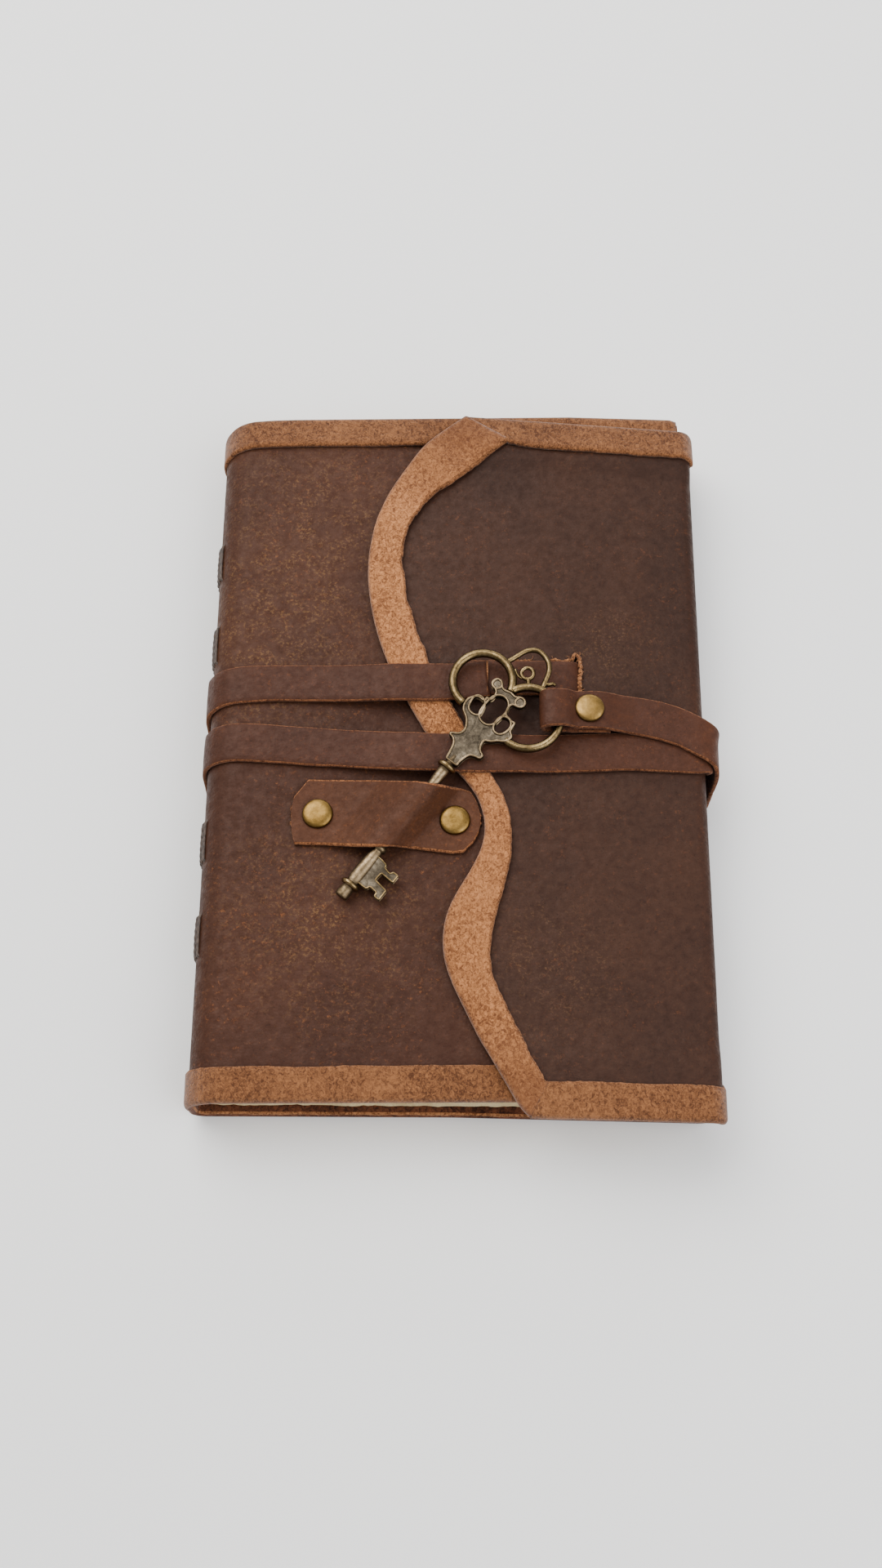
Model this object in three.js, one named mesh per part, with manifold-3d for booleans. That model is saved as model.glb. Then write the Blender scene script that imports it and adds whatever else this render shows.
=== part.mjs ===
// Hand-bound leather journal with a wrap strap and a brass skeleton key closure.
// Millimetres. +X is the fore-edge side, +Y the head, +Z the front cover side.
import * as THREE from 'three';
import { mergeVertices } from 'three/addons/utils/BufferGeometryUtils.js';
import Module from 'manifold-3d';

const wasm = await Module();
wasm.setup();
const { Manifold, Mesh: SolidMesh } = wasm;

// ---------------------------------------------------------------- dimensions
const LEATHER = 1.4;          // cover leather thickness
const GAP = 0.3;              // clearance kept between pieces that touch
const STRAP_T = 1.1;          // strap leather thickness
const STRAP_W = 9.8;          // strap width
const TAB_T = 1.1;            // keeper tab thickness

const SPINE_X = -62.0;        // outer face of the spine
const FORE_X = 61.9;          // outer face of the fore-edge
const COVER_FORE_X = 59.3;    // free edge of the front cover

const BACK_Z = LEATHER;                       // underside of the back cover, above its hems
const SIGNATURES = 6;
const SIGNATURE_T = 2.1;
const PAGES_Z = BACK_Z + LEATHER + GAP;       // 3.1
const SIGNATURE_PITCH = SIGNATURE_T + GAP;
const FRONT_Z = 18.4;                         // inner face of the front cover
const FLAP_Z = FRONT_Z + LEATHER + GAP;       // 20.1 inner face of the flap
const FLAP_RAISED_Z = FLAP_Z + LEATHER;       // 21.5 where it passes over the cover's hems
const PAGE_SPINE_X = -59.0;
const PAGE_FORE_X = 57.0;

const RIVET_R = 3.5;
const POST_R = 1.2;
const HOLE_R = 1.5;
const KEEPER_RIVETS = [[-33.3, -22.3], [0.1, -23.7]];
const STRAP_RIVET = [33.0, 3.8];

const KEY_TIP = [-27.1, -43.6, 22.18];        // centre of the key's tip
const KEY_ANGLE = 52.2 * Math.PI / 180;       // direction of its shank in plan
const KEY_RISE = 0.072;                       // how much it climbs per millimetre
const KEY_T = 1.5;                            // thickness of the key's flat bow plate
const SHANK_R = 1.2;

const THREAD_R = 0.45;
const STITCHES = [[55, 44], [31, 20], [-22, -33], [-46, -57]];
const THREAD_ROWS = [15.7, 13.6, 11.2, 8.9, 6.6, 4.4];

// ------------------------------------------------------------------- outlines
// wavy free edge of the flap, from the tail to the head
const WAVE = [
  [17.5, -95.7], [15.6, -94.7], [13.9, -91.3], [12.5, -88.5], [10.4, -85.4], [9.0, -82.4],
  [6.9, -79.4], [4.9, -75.2], [1.4, -68.1], [-1.1, -62.9], [-2.6, -57.6], [-2.8, -53.0],
  [-2.2, -48.0], [0.0, -42.9], [3.7, -36.9], [6.7, -31.0], [7.7, -25.7], [6.8, -20.3],
  [4.6, -15.7], [1.7, -12.5], [-2.4, -7.6], [-6.7, -2.0], [-11.6, 6.8], [-16.7, 17.0],
  [-19.9, 26.0], [-21.8, 34.7], [-22.7, 42.2], [-22.6, 49.1], [-21.2, 58.2], [-17.7, 67.3],
  [-12.0, 76.7], [-7.3, 82.3], [-2.0, 86.6], [2.0, 89.8],
];
// inner edge of the turned-out hem along that wave, from the tail to the head
const WAVE_HEM = [
  [20.1, -86.6], [16.5, -79.1], [14.0, -73.4], [11.5, -68.1], [8.7, -62.8], [8.3, -58.0],
  [8.5, -53.6], [9.8, -47.2], [12.0, -40.7], [13.4, -34.2], [14.0, -26.9], [13.3, -21.9],
  [11.5, -16.8], [9.2, -12.8], [4.6, -4.4], [1.6, 2.0], [-0.3, 5.1], [-6.6, 17.1],
  [-10.3, 27.9], [-12.7, 36.6], [-13.9, 44.7], [-13.8, 51.8], [-11.8, 58.8], [-7.4, 65.4],
  [-4.0, 68.1], [0.2, 71.1], [11.8, 81.1],
];
const FLAP_HEAD = [[15, 88.9], [30, 87.8], [45, 86.7], [56, 85.9], [60.6, 85.5], [FORE_X, 84.4]];
const FLAP_TAIL = [[FORE_X, -95.6], [60.8, -96.6], [40, -96.2]];
const FLAP_HEAD_HEM = [[14.8, 80.5], [30, 79.2], [45, 77.8], [54, 77.0], [64, 76.4]];
const FLAP_TAIL_HEM = [[64, -89.1], [43.5, -88.1], [30.6, -87.4]];

const COVER = [
  [-61.1, -92.6], [57.4, -91.1], [COVER_FORE_X, -89.3], [COVER_FORE_X, 89.4], [57.2, 91.2],
  [30, 91.8], [-61.1, 90.5],
];
const COVER_HEM_TAIL = [[-61.1, -92.6], [57.4, -91.1], [COVER_FORE_X, -89.3], [COVER_FORE_X, -82.4], [-61.1, -85.0]];
const COVER_HEM_HEAD = [[-61.1, 82.9], [COVER_FORE_X, 84.0], [COVER_FORE_X, 89.4], [57.2, 91.2], [30, 91.8], [-61.1, 90.5]];
const BACK = [[SPINE_X, -92.0], [FORE_X, -93.0], [FORE_X, 90.4], [SPINE_X, 90.6]];
const BACK_HEM_TAIL = [[SPINE_X, -92.0], [FORE_X, -93.0], [FORE_X, -84.9], [SPINE_X, -84.0]];
const BACK_HEM_HEAD = [[SPINE_X, 82.4], [FORE_X, 82.2], [FORE_X, 90.4], [SPINE_X, 90.6]];

// -------------------------------------------------------------------- helpers
const material = (color, roughness, metalness = 0) =>
  new THREE.MeshStandardMaterial({ color, roughness, metalness });
const darkLeather = material(0x5b4035, 0.62);
const flapLeather = material(0x49352d, 0.62);
const strapLeather = material(0x53352a, 0.6);
const pagePaper = material(0xe6d6ad, 0.92);
const waxedThread = material(0x241a16, 0.7);
const brass = material(0x9a8456, 0.38, 0.9);
const rivetBrass = material(0xb49a66, 0.34, 0.9);

function solid(geometry) {
  let g = geometry.clone();
  g.deleteAttribute('normal');
  g.deleteAttribute('uv');
  g = mergeVertices(g, 1e-4);
  const solidMesh = new SolidMesh({
    numProp: 3,
    vertProperties: new Float32Array(g.attributes.position.array),
    triVerts: new Uint32Array(g.index.array),
  });
  return new Manifold(solidMesh);
}

function geometryOf(manifold) {
  const m = manifold.getMesh();
  const g = new THREE.BufferGeometry();
  const n = m.numProp;
  const count = m.vertProperties.length / n;
  const pos = new Float32Array(count * 3);
  for (let i = 0; i < count; i++) for (let k = 0; k < 3; k++) pos[i * 3 + k] = m.vertProperties[i * n + k];
  g.setAttribute('position', new THREE.BufferAttribute(pos, 3));
  g.setIndex(new THREE.BufferAttribute(new Uint32Array(m.triVerts), 1));
  g.computeVertexNormals();
  return g;
}

const shapeOf = (points, holes = []) => {
  const s = new THREE.Shape(points.map(([x, y]) => new THREE.Vector2(x, y)));
  for (const h of holes) s.holes.push(new THREE.Path(h.map(([x, y]) => new THREE.Vector2(x, y))));
  return s;
};

// upright prism on a plan outline
function prism(points, z0, z1, holes = []) {
  const g = new THREE.ExtrudeGeometry(shapeOf(points, holes), { depth: z1 - z0, bevelEnabled: false });
  g.translate(0, 0, z0);
  return g;
}

// bar along X with a Y-Z section
function barX(section, x0, x1) {
  const g = new THREE.ExtrudeGeometry(shapeOf(section), { depth: x1 - x0, bevelEnabled: false });
  g.translate(0, 0, x0);
  g.applyMatrix4(new THREE.Matrix4().set(0, 0, 1, 0, 1, 0, 0, 0, 0, 1, 0, 0, 0, 0, 0, 1));
  return g;
}

// bar along Y with an X-Z section
function barY(section, y0, y1) {
  const g = new THREE.ExtrudeGeometry(shapeOf(section), { depth: y1 - y0, bevelEnabled: false });
  g.applyMatrix4(new THREE.Matrix4().set(1, 0, 0, 0, 0, 0, -1, y1, 0, 1, 0, 0, 0, 0, 0, 1));
  return g;
}

const box = (x0, x1, y0, y1, z0, z1) => {
  const g = new THREE.BoxGeometry(x1 - x0, y1 - y0, z1 - z0);
  g.translate((x0 + x1) / 2, (y0 + y1) / 2, (z0 + z1) / 2);
  return g;
};

const post = (x, y, r, z0, z1, sides = 12) => {
  const g = new THREE.CylinderGeometry(r, r, z1 - z0, sides);
  g.rotateX(Math.PI / 2);
  g.translate(x, y, (z0 + z1) / 2);
  return g;
};

// turned piece about a vertical axis; profile of [radius, height] from bottom axis point to top
function turned(profile, sides) {
  const g = new THREE.LatheGeometry(profile.map(([r, z]) => new THREE.Vector2(r, z)), sides);
  g.rotateX(Math.PI / 2);
  return g;
}

// A section carried along a polyline whose side direction stays square to `up`,
// mitred at each corner, with flat ends.
function swept(points, section, up) {
  const P = points.map((p) => new THREE.Vector3(...p));
  const n = P.length;
  const k = section.length;
  const pos = [];
  const flat = (v) => v.clone().addScaledVector(up, -v.dot(up)).normalize();
  for (let i = 0; i < n; i++) {
    const a = flat(new THREE.Vector3().subVectors(P[Math.min(i + 1, n - 1)], P[Math.min(i, n - 2)]));
    const b = flat(new THREE.Vector3().subVectors(P[Math.max(i, 1)], P[Math.max(i - 1, 0)]));
    const t = new THREE.Vector3().addVectors(a, b).normalize();
    const mitre = 1 / Math.max(0.5, t.dot(a));
    const side = new THREE.Vector3().crossVectors(t, up).normalize();
    for (const [s, u] of section) {
      const v = P[i].clone().addScaledVector(side, s * mitre).addScaledVector(up, u);
      pos.push(v.x, v.y, v.z);
    }
  }
  const index = [];
  for (let i = 0; i < n - 1; i++) {
    for (let j = 0; j < k; j++) {
      const j2 = (j + 1) % k;
      const a = i * k + j, b = i * k + j2, c = (i + 1) * k + j, d = (i + 1) * k + j2;
      index.push(a, b, d, a, d, c);
    }
  }
  for (let j = 1; j < k - 1; j++) {
    index.push(0, j + 1, j);
    const e = (n - 1) * k;
    index.push(e, e + j, e + j + 1);
  }
  const g = new THREE.BufferGeometry();
  g.setAttribute('position', new THREE.BufferAttribute(new Float32Array(pos), 3));
  g.setIndex(index);
  // turn it right side out
  let volume = 0;
  const v = (i) => new THREE.Vector3(pos[3 * i], pos[3 * i + 1], pos[3 * i + 2]);
  for (let i = 0; i < index.length; i += 3) volume += v(index[i]).dot(v(index[i + 1]).cross(v(index[i + 2])));
  if (volume < 0) for (let i = 0; i < index.length; i += 3) [index[i + 1], index[i + 2]] = [index[i + 2], index[i + 1]];
  g.setIndex(index);
  g.computeVertexNormals();
  return g;
}

const circle = (r, sides) => Array.from({ length: sides }, (_, i) => {
  const a = 2 * Math.PI * (i + 0.5) / sides;
  return [r * Math.cos(a), r * Math.sin(a)];
});

const journal = new THREE.Group();
function part(name, geometry, mat, parent = journal) {
  const mesh = new THREE.Mesh(geometry, mat);
  mesh.name = name;
  parent.add(mesh);
  return mesh;
}

// ----------------------------------------------------------------- back cover
part('back_cover_leather', geometryOf(
  solid(prism(BACK, BACK_Z, BACK_Z + LEATHER))
    .add(solid(prism(BACK_HEM_TAIL, 0, BACK_Z + 0.1)))
    .add(solid(prism(BACK_HEM_HEAD, 0, BACK_Z + 0.1)))), darkLeather);

// ---------------------------------------------------------------------- spine
const spineTop = FRONT_Z - GAP;
let spine = solid(box(SPINE_X, SPINE_X + LEATHER, -92.0, 90.6, PAGES_Z, spineTop))
  .add(solid(box(SPINE_X - 1.0, SPINE_X + 0.1, -92.0, -84.0, PAGES_Z, 14.6)))
  .add(solid(box(SPINE_X - 1.0, SPINE_X + 0.1, 82.4, 90.6, PAGES_Z, 14.6)));
for (const z of THREAD_ROWS) {
  for (const stitch of STITCHES) {
    for (const y of stitch) {
      spine = spine.subtract(solid(box(SPINE_X - 1, SPINE_X + LEATHER + 1, y - 0.75, y + 0.75, z - 0.75, z + 0.75)));
    }
  }
}
part('spine_leather', geometryOf(spine), darkLeather);

// each thread runs inside the fold of its signature and out over the spine
THREAD_ROWS.forEach((z, i) => {
  const inner = SPINE_X + LEATHER + 0.85;
  const outer = SPINE_X - 0.25 - THREAD_R;
  const path = [[inner, 60, z]];
  for (const [a, b] of STITCHES) path.push([inner, a, z], [outer, a, z], [outer, b, z], [inner, b, z]);
  path.push([inner, -62, z]);
  part(`sewing_thread_${i + 1}`, swept(path, circle(THREAD_R, 6), new THREE.Vector3(0, 0, 1)), waxedThread);
});

// ---------------------------------------------------------------- signatures
// folded gatherings of handmade paper, number 1 next to the front cover
for (let i = 0; i < SIGNATURES; i++) {
  const z0 = PAGES_Z + (SIGNATURES - 1 - i) * SIGNATURE_PITCH;
  const z1 = z0 + SIGNATURE_T;
  const r = SIGNATURE_T / 2;
  const fore = PAGE_FORE_X - [0.3, 0.9, 0.1, 0.7, 0.0, 0.6][i];
  const section = [[fore, z0 + 0.2], [fore + 0.3, (z0 + z1) / 2], [fore, z1 - 0.2], [fore - 0.4, z1]];
  section.push([PAGE_SPINE_X + r, z1], [PAGE_SPINE_X + 0.3 * r, z1 - 0.3 * r], [PAGE_SPINE_X, (z0 + z1) / 2],
    [PAGE_SPINE_X + 0.3 * r, z0 + 0.3 * r], [PAGE_SPINE_X + r, z0], [fore - 0.4, z0]);
  part(`signature_${i + 1}`, barY(section.reverse(), -90.6 + [0, 0.8, 0.3, 1, 0.5, 0.2][i], 88.9 - [0.4, 0, 0.9, 0.2, 0.7, 0.3][i]), pagePaper);
}

// ---------------------------------------------------------------- front cover
let cover = solid(prism(COVER, FRONT_Z, FRONT_Z + LEATHER))
  .add(solid(prism(COVER_HEM_TAIL, FRONT_Z + LEATHER - 0.1, FRONT_Z + 2 * LEATHER)))
  .add(solid(prism(COVER_HEM_HEAD, FRONT_Z + LEATHER - 0.1, FRONT_Z + 2 * LEATHER)));
for (const [x, y] of KEEPER_RIVETS) cover = cover.subtract(solid(post(x, y, HOLE_R, FRONT_Z - 1, FRONT_Z + LEATHER + 1)));
part('front_cover_leather', geometryOf(cover), darkLeather);

// ------------------------------------------------------------------ the key's place
const kd = new THREE.Vector3(Math.cos(KEY_ANGLE), Math.sin(KEY_ANGLE), KEY_RISE).normalize();
const kn = new THREE.Vector3(-Math.sin(KEY_ANGLE), Math.cos(KEY_ANGLE), 0);
const kw = new THREE.Vector3().crossVectors(kd, kn);
const keyMatrix = new THREE.Matrix4().makeBasis(kd, kn, kw).setPosition(...KEY_TIP);

// ---------------------------------------------------------------- keeper tab
// riveted at both ends, arched over the key's shank
const smooth = (t) => { const c = Math.min(1, Math.max(0, t)); return c * c * (3 - 2 * c); };
const lerpLine = (line, x) => {
  for (let i = 0; i < line.length - 1; i++) {
    const [x0, y0] = line[i], [x1, y1] = line[i + 1];
    if (x <= x1) return y0 + (y1 - y0) * Math.max(0, (x - x0) / (x1 - x0));
  }
  return line[line.length - 1][1];
};
const TAB_LOW = [[-39.4, -26], [-38.2, -30.0], [-15, -30.3], [-3.2, -31.4], [2.3, -31.6], [4.3, -30.0], [5.6, -27.2], [6.1, -24.6]];
const TAB_HIGH = [[-39.4, -19.5], [-38.2, -16.6], [-36, -14.0], [-3.4, -13.8], [2.5, -14.4], [4.4, -16.4], [5.6, -20.0], [6.1, -22.8]];
const TAB_X = [-39.4, -38.2, -36, -30, -26, -22.5, -19.5, -17, -15, -13, -11, -9, -7, -5, -3.2, -1, 2.3, 4.3, 5.6, 6.1];
const TAB_ROWS = 7;
function tabUnderside(x, y) {
  const dx = x - KEY_TIP[0], dy = y - KEY_TIP[1];
  const u = dx * Math.cos(KEY_ANGLE) + dy * Math.sin(KEY_ANGLE);
  const v = -dx * Math.sin(KEY_ANGLE) + dy * Math.cos(KEY_ANGLE);
  const base = FRONT_Z + LEATHER + GAP;
  const top = KEY_TIP[2] + KEY_RISE * u + SHANK_R + GAP + 0.15;
  const w = v < 0 ? 1 - smooth((-v - 2.1) / 3.2) : 1 - smooth((v - 2.1) / 10.9);
  return base + (top - base) * w;
}
function tabGeometry() {
  const nx = TAB_X.length, ny = TAB_ROWS;
  const pos = [];
  for (const lift of [0, TAB_T]) {
    for (const x of TAB_X) {
      const lo = lerpLine(TAB_LOW, x), hi = lerpLine(TAB_HIGH, x);
      for (let j = 0; j < ny; j++) {
        const y = lo + (hi - lo) * j / (ny - 1);
        pos.push(x, y, tabUnderside(x, y) + lift);
      }
    }
  }
  const id = (l, i, j) => l * nx * ny + i * ny + j;
  const index = [];
  const quad = (a, b, c, d) => index.push(a, b, c, a, c, d);
  for (let i = 0; i < nx - 1; i++) {
    for (let j = 0; j < ny - 1; j++) {
      quad(id(1, i, j), id(1, i + 1, j), id(1, i + 1, j + 1), id(1, i, j + 1));
      quad(id(0, i, j), id(0, i, j + 1), id(0, i + 1, j + 1), id(0, i + 1, j));
    }
    quad(id(0, i, 0), id(0, i + 1, 0), id(1, i + 1, 0), id(1, i, 0));
    quad(id(0, i, ny - 1), id(1, i, ny - 1), id(1, i + 1, ny - 1), id(0, i + 1, ny - 1));
  }
  for (let j = 0; j < ny - 1; j++) {
    quad(id(0, 0, j), id(1, 0, j), id(1, 0, j + 1), id(0, 0, j + 1));
    quad(id(0, nx - 1, j), id(0, nx - 1, j + 1), id(1, nx - 1, j + 1), id(1, nx - 1, j));
  }
  const g = new THREE.BufferGeometry();
  g.setAttribute('position', new THREE.BufferAttribute(new Float32Array(pos), 3));
  g.setIndex(index);
  return g;
}
let tab = solid(tabGeometry());
for (const [x, y] of KEEPER_RIVETS) tab = tab.subtract(solid(post(x, y, HOLE_R, FRONT_Z, FRONT_Z + 6)));
part('keeper_tab', geometryOf(tab), strapLeather);

// --------------------------------------------------------------------- rivets
// cap with its post, and the flat back that the post is set into
function rivet(prefix, x, y, capZ, backZ, backT) {
  const group = new THREE.Group();
  group.position.set(x, y, 0);
  journal.add(group);
  const r = RIVET_R;
  const recess = backT - 0.25;
  part(`${prefix}_cap`, turned([
    [0, backZ + 0.45], [POST_R, backZ + 0.45], [POST_R, capZ], [r - 0.15, capZ], [r, capZ + 0.3],
    [r - 0.25, capZ + 0.8], [r - 1.2, capZ + 1.3], [r - 2.3, capZ + 1.55], [0, capZ + 1.65]], 20), rivetBrass, group);
  part(`${prefix}_back`, turned([
    [0, backZ], [r - 0.2, backZ], [r - 0.1, backZ + backT], [HOLE_R, backZ + backT],
    [HOLE_R, backZ + backT - recess], [0, backZ + backT - recess]], 20), rivetBrass, group);
}
const tabTop = FRONT_Z + LEATHER + GAP + TAB_T;
rivet('keeper_rivet_left', KEEPER_RIVETS[0][0], KEEPER_RIVETS[0][1], tabTop + GAP, FRONT_Z - 0.9, 0.6);
rivet('keeper_rivet_right', KEEPER_RIVETS[1][0], KEEPER_RIVETS[1][1], tabTop + GAP, FRONT_Z - 0.9, 0.6);
rivet('strap_rivet', STRAP_RIVET[0], STRAP_RIVET[1], 27.25, FLAP_Z + LEATHER + 0.4, 0.6);

// ------------------------------------------------------------------ fore-edge
// the wall of leather that turns up round the page edges
const wall = [
  [-93.0, PAGES_Z], [90.4, PAGES_Z], [85.4, FLAP_RAISED_Z - GAP], [80.5, FLAP_RAISED_Z - GAP],
  [75, FLAP_Z - GAP], [-76, FLAP_Z - GAP], [-81.5, FLAP_RAISED_Z - GAP], [-96.3, FLAP_RAISED_Z - GAP]];
const wallHemTail = [[-93.0, PAGES_Z], [-85.2, PAGES_Z], [-88.0, 19.0], [-95.9, 19.0]];
const wallHemHead = [[82.4, PAGES_Z], [90.4, PAGES_Z], [86.0, 19.0], [78.2, 19.0]];
part('fore_edge_leather', geometryOf(
  solid(barX(wall, FORE_X - LEATHER, FORE_X))
    .add(solid(barX(wallHemTail, FORE_X - 0.1, FORE_X + 0.9)))
    .add(solid(barX(wallHemHead, FORE_X - 0.1, FORE_X + 0.9)))), flapLeather);

// ----------------------------------------------------------------------- flap
// lies on the front cover and steps up over the cover's head and tail hems
const flapLevels = [[-99, FLAP_RAISED_Z], [-81.5, FLAP_RAISED_Z], [-76, FLAP_Z], [75, FLAP_Z], [80.5, FLAP_RAISED_Z], [93, FLAP_RAISED_Z]];
const layer = (low, high) => [
  ...flapLevels.map(([y, z]) => [y, z + low]),
  ...flapLevels.map(([y, z]) => [y, z + high]).reverse(),
];
const flapOutline = [...FLAP_TAIL, ...WAVE, ...FLAP_HEAD].reverse();
const flapInner = [...FLAP_TAIL_HEM, ...WAVE_HEM, ...FLAP_HEAD_HEM].reverse();
const flapPrism = solid(prism(flapOutline, 15, 32));
const flapInnerPrism = solid(prism(flapInner, 14, 33));
const panel = flapPrism.intersect(solid(barX(layer(0, LEATHER), -40, 70)));
const hem = flapPrism.subtract(flapInnerPrism).intersect(solid(barX(layer(LEATHER - 0.1, 2 * LEATHER), -41, 71)));
const slit = solid(box(29.7, 31.9, 8.9, 19.1, 15, 32));
part('flap_leather', geometryOf(panel.add(hem).subtract(slit)), flapLeather);

// end of the strap that comes up through the slit
const strip = (w, t) => [[-t / 2, -w / 2], [t / 2, -w / 2], [t / 2, w / 2], [-t / 2, w / 2]];
const Y = new THREE.Vector3(0, 1, 0);
const onFlap = FLAP_Z + LEATHER + GAP + STRAP_T / 2;            // 22.35
part('strap_anchor', swept([[1, 14, onFlap], [29.2, 14, onFlap], [30.5, 14, onFlap - 0.3], [30.85, 14, onFlap - 1.3], [30.85, 14, 20.4]],
  strip(9.4, STRAP_T), Y), strapLeather);

// ---------------------------------------------------------------------- strap
const onCover = FRONT_Z + LEATHER + GAP + STRAP_T / 2;          // 20.65
const onHem = onFlap + LEATHER;                                  // 23.75
const under = 0.6;
const left = SPINE_X - GAP - STRAP_T / 2;                        // -62.85
const right = FORE_X + GAP + STRAP_T / 2;                        // 62.75
const outer = right + STRAP_T + GAP;                             // 64.15
const strapPath = [
  // first pass over the front, from the glued end to the spine
  [8.0, 13.0, onHem], [-17.8, 12.0, onHem], [-22.8, 12.1, onCover], [-45, 12.8, onCover], [-56, 12.2, onCover],
  [-60.9, 11.2, onCover], [-62.3, 10.9, 20.1], [left, 10.5, 18.7], [left, 8.6, 1.9], [-62.65, 8.4, 0.8], [-61.8, 8.3, under],
  // under the back, up the fore-edge
  [61.5, 2.6, under], [62.5, 2.4, 0.85], [right, 2.0, 1.9], [right, -6.2, 20.6], [62.65, -6.5, 22.1], [61.4, -6.8, onFlap],
  // second pass over the front
  [45, -5.7, onFlap], [34, -6.2, onFlap], [16, -6.9, onFlap], [11.0, -7.1, onHem], [-10.0, -6.7, onHem], [-14.8, -6.2, onCover],
  [-26, -5.2, onCover], [-47, -3.6, onCover], [-56, -3.3, onCover],
  [-60.9, -3.8, onCover], [-62.3, -4.0, 20.1], [left, -4.2, 18.7], [left, -6.0, 1.9], [-62.65, -6.2, 0.8], [-61.8, -6.3, under],
  // under the back again, up the fore-edge outside the first pass
  [61.5, -9.0, under], [63.1, -9.0, 0.8], [63.95, -8.9, 1.6], [outer, -8.6, 2.8], [outer, -4.8, 21.2], [63.8, -4.0, 23.1], [62.6, -3.0, onHem],
  // last run to the loop that holds the key's ring
  [56, 0.6, onHem], [50, 2.4, onHem], [44, 3.4, onHem], [40.2, 3.7, 24.4], [36.6, 3.8, 25.9], [29.6, 3.7, 26.3],
  [28.3, 3.5, 27.8], [26.8, 3.3, 29.0], [23.1, 3.0, 29.15], [21.6, 2.95, 28.55], [21.0, 2.95, 27.075], [21.6, 2.95, 25.6],
  [23.1, 3.0, 25.0], [26.5, 3.3, 24.8], [29.0, 3.7, 23.5], [38.3, 3.8, 23.4],
];
const collarPocket = new THREE.CylinderGeometry(2.8, 2.8, 3.2, 16);
collarPocket.rotateZ(-Math.PI / 2);
collarPocket.translate(40.9, 0, 0);
collarPocket.applyMatrix4(keyMatrix);
part('strap', geometryOf(
  solid(swept(strapPath, strip(STRAP_W, STRAP_T), Y))
    .subtract(solid(post(STRAP_RIVET[0], STRAP_RIVET[1], HOLE_R, 22.4, 27.8)))
    .subtract(solid(collarPocket))), strapLeather);

// ------------------------------------------------------------------------ key
// drawn along X from its tip, flat in X-Y
const shank = new THREE.LatheGeometry([
  [0, 0], [1.3, 0], [1.6, 0.3], [1.6, 1.7], [1.45, 1.9], [1.5, 3.1], [2.3, 3.3], [2.45, 3.8], [2.3, 4.3], [1.55, 4.5],
  [1.6, 6], [1.45, 10], [SHANK_R, 14.2], [1.75, 14.6], [1.75, 15.4], [SHANK_R, 15.8], [SHANK_R, 39.7], [1.5, 40.35], [2.3, 40.5],
  [2.45, 41], [2.3, 41.5], [0.7, 41.7], [0.6, 44.5], [0, 44.5]].map(([r, u]) => new THREE.Vector2(r, u)), 12);
shank.rotateZ(-Math.PI / 2);
const bitOutline = [
  [13.2, 0], [13.2, -2.0], [12.8, -4.0], [12.0, -4.2], [11.6, -6.0], [12.4, -6.4], [12.4, -7.9], [10.2, -7.9], [10.4, -4.3],
  [8.3, -4.2], [7.8, -7.9], [4.9, -7.9], [4.9, -6.4], [6.0, -6.3], [6.2, -4.2], [5.2, -3.8], [5.2, 0]];
const plateOutline = [
  [42.4, 1.3], [44.3, 1.7], [46.4, 2.3], [47.6, 3.1], [47.8, 3.8], [47.7, 4.5], [48.1, 4.9], [48.7, 4.7], [48.9, 4.2],
  [49.3, 3.2], [50.0, 2.6], [51.2, 2.4], [52.3, 2.9], [53.4, 3.6], [54.0, 4.4], [54.8, 5.8], [55.8, 6.5], [57.1, 6.8],
  [58.2, 6.8], [59.3, 6.0], [60.1, 5.2], [60.3, 4.2], [60.0, 3.1], [61.2, 3.4], [61.0, 2.1], [61.9, 1.9], [63.1, 2.0],
  [63.8, 2.6], [64.0, 3.5], [64.5, 4.4], [65.5, 4.7], [66.7, 4.2], [66.9, 3.0], [66.3, 2.0], [65.6, 1.4], [65.5, 0.5],
  [66.0, -0.8], [65.8, -1.9], [65.6, -2.6], [66.3, -3.3], [66.5, -4.6], [65.8, -5.6], [64.6, -5.8], [63.6, -5.2],
  [63.3, -4.1], [63.2, -3.2], [62.4, -2.9], [61.3, -3.2], [60.3, -3.5], [60.2, -5.0], [60.4, -6.3], [59.5, -6.8],
  [58.1, -7.0], [57.3, -7.2], [57.2, -7.9], [56.5, -8.5], [55.6, -8.4], [54.7, -7.9], [53.8, -6.8], [53.4, -6.0],
  [52.7, -5.3], [52.0, -4.4], [51.5, -3.3], [50.9, -3.1], [50.0, -3.5], [49.3, -4.1], [48.9, -4.8], [48.6, -5.6],
  [48.1, -5.7], [47.3, -5.4], [47.1, -4.6], [46.9, -3.6], [46.5, -2.8], [45.3, -2.2], [43.7, -1.7], [42.4, -1.4]].reverse();
const plateHoles = [
  [[59.3, 5.3], [58.3, 5.4], [56.6, 4.8], [56.0, 4.2], [56.0, 2.9], [56.3, 2.2], [57.0, 2.1], [58.2, 2.5], [59.2, 2.9], [59.6, 4.0]],
  [[62.7, 0.9], [63.2, -0.2], [63.0, -1.3], [62.2, -2.1], [60.9, -2.4], [59.0, -2.3], [56.9, -2.0], [56.0, -1.4], [55.6, -0.5], [55.9, 0.6], [56.6, 1.3], [58.0, 1.6], [59.5, 1.7], [61.4, 1.6]],
  [[56.1, -3.3], [57.9, -3.0], [59.0, -3.2], [59.4, -4.3], [59.2, -5.3], [58.3, -5.9], [57.2, -5.9], [56.1, -5.6], [55.3, -4.9], [55.3, -4.0]],
];
const arc = (cu, cv, r, from, to, steps) => Array.from({ length: steps + 1 }, (_, i) => {
  const a = (from + (to - from) * i / steps) * Math.PI / 180;
  return [cu + r * Math.cos(a), cv + r * Math.sin(a), 0];
});
const Z = new THREE.Vector3(0, 0, 1);
const wire = (path, r, sides = 8) => solid(swept(path, circle(r, sides), Z));
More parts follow.
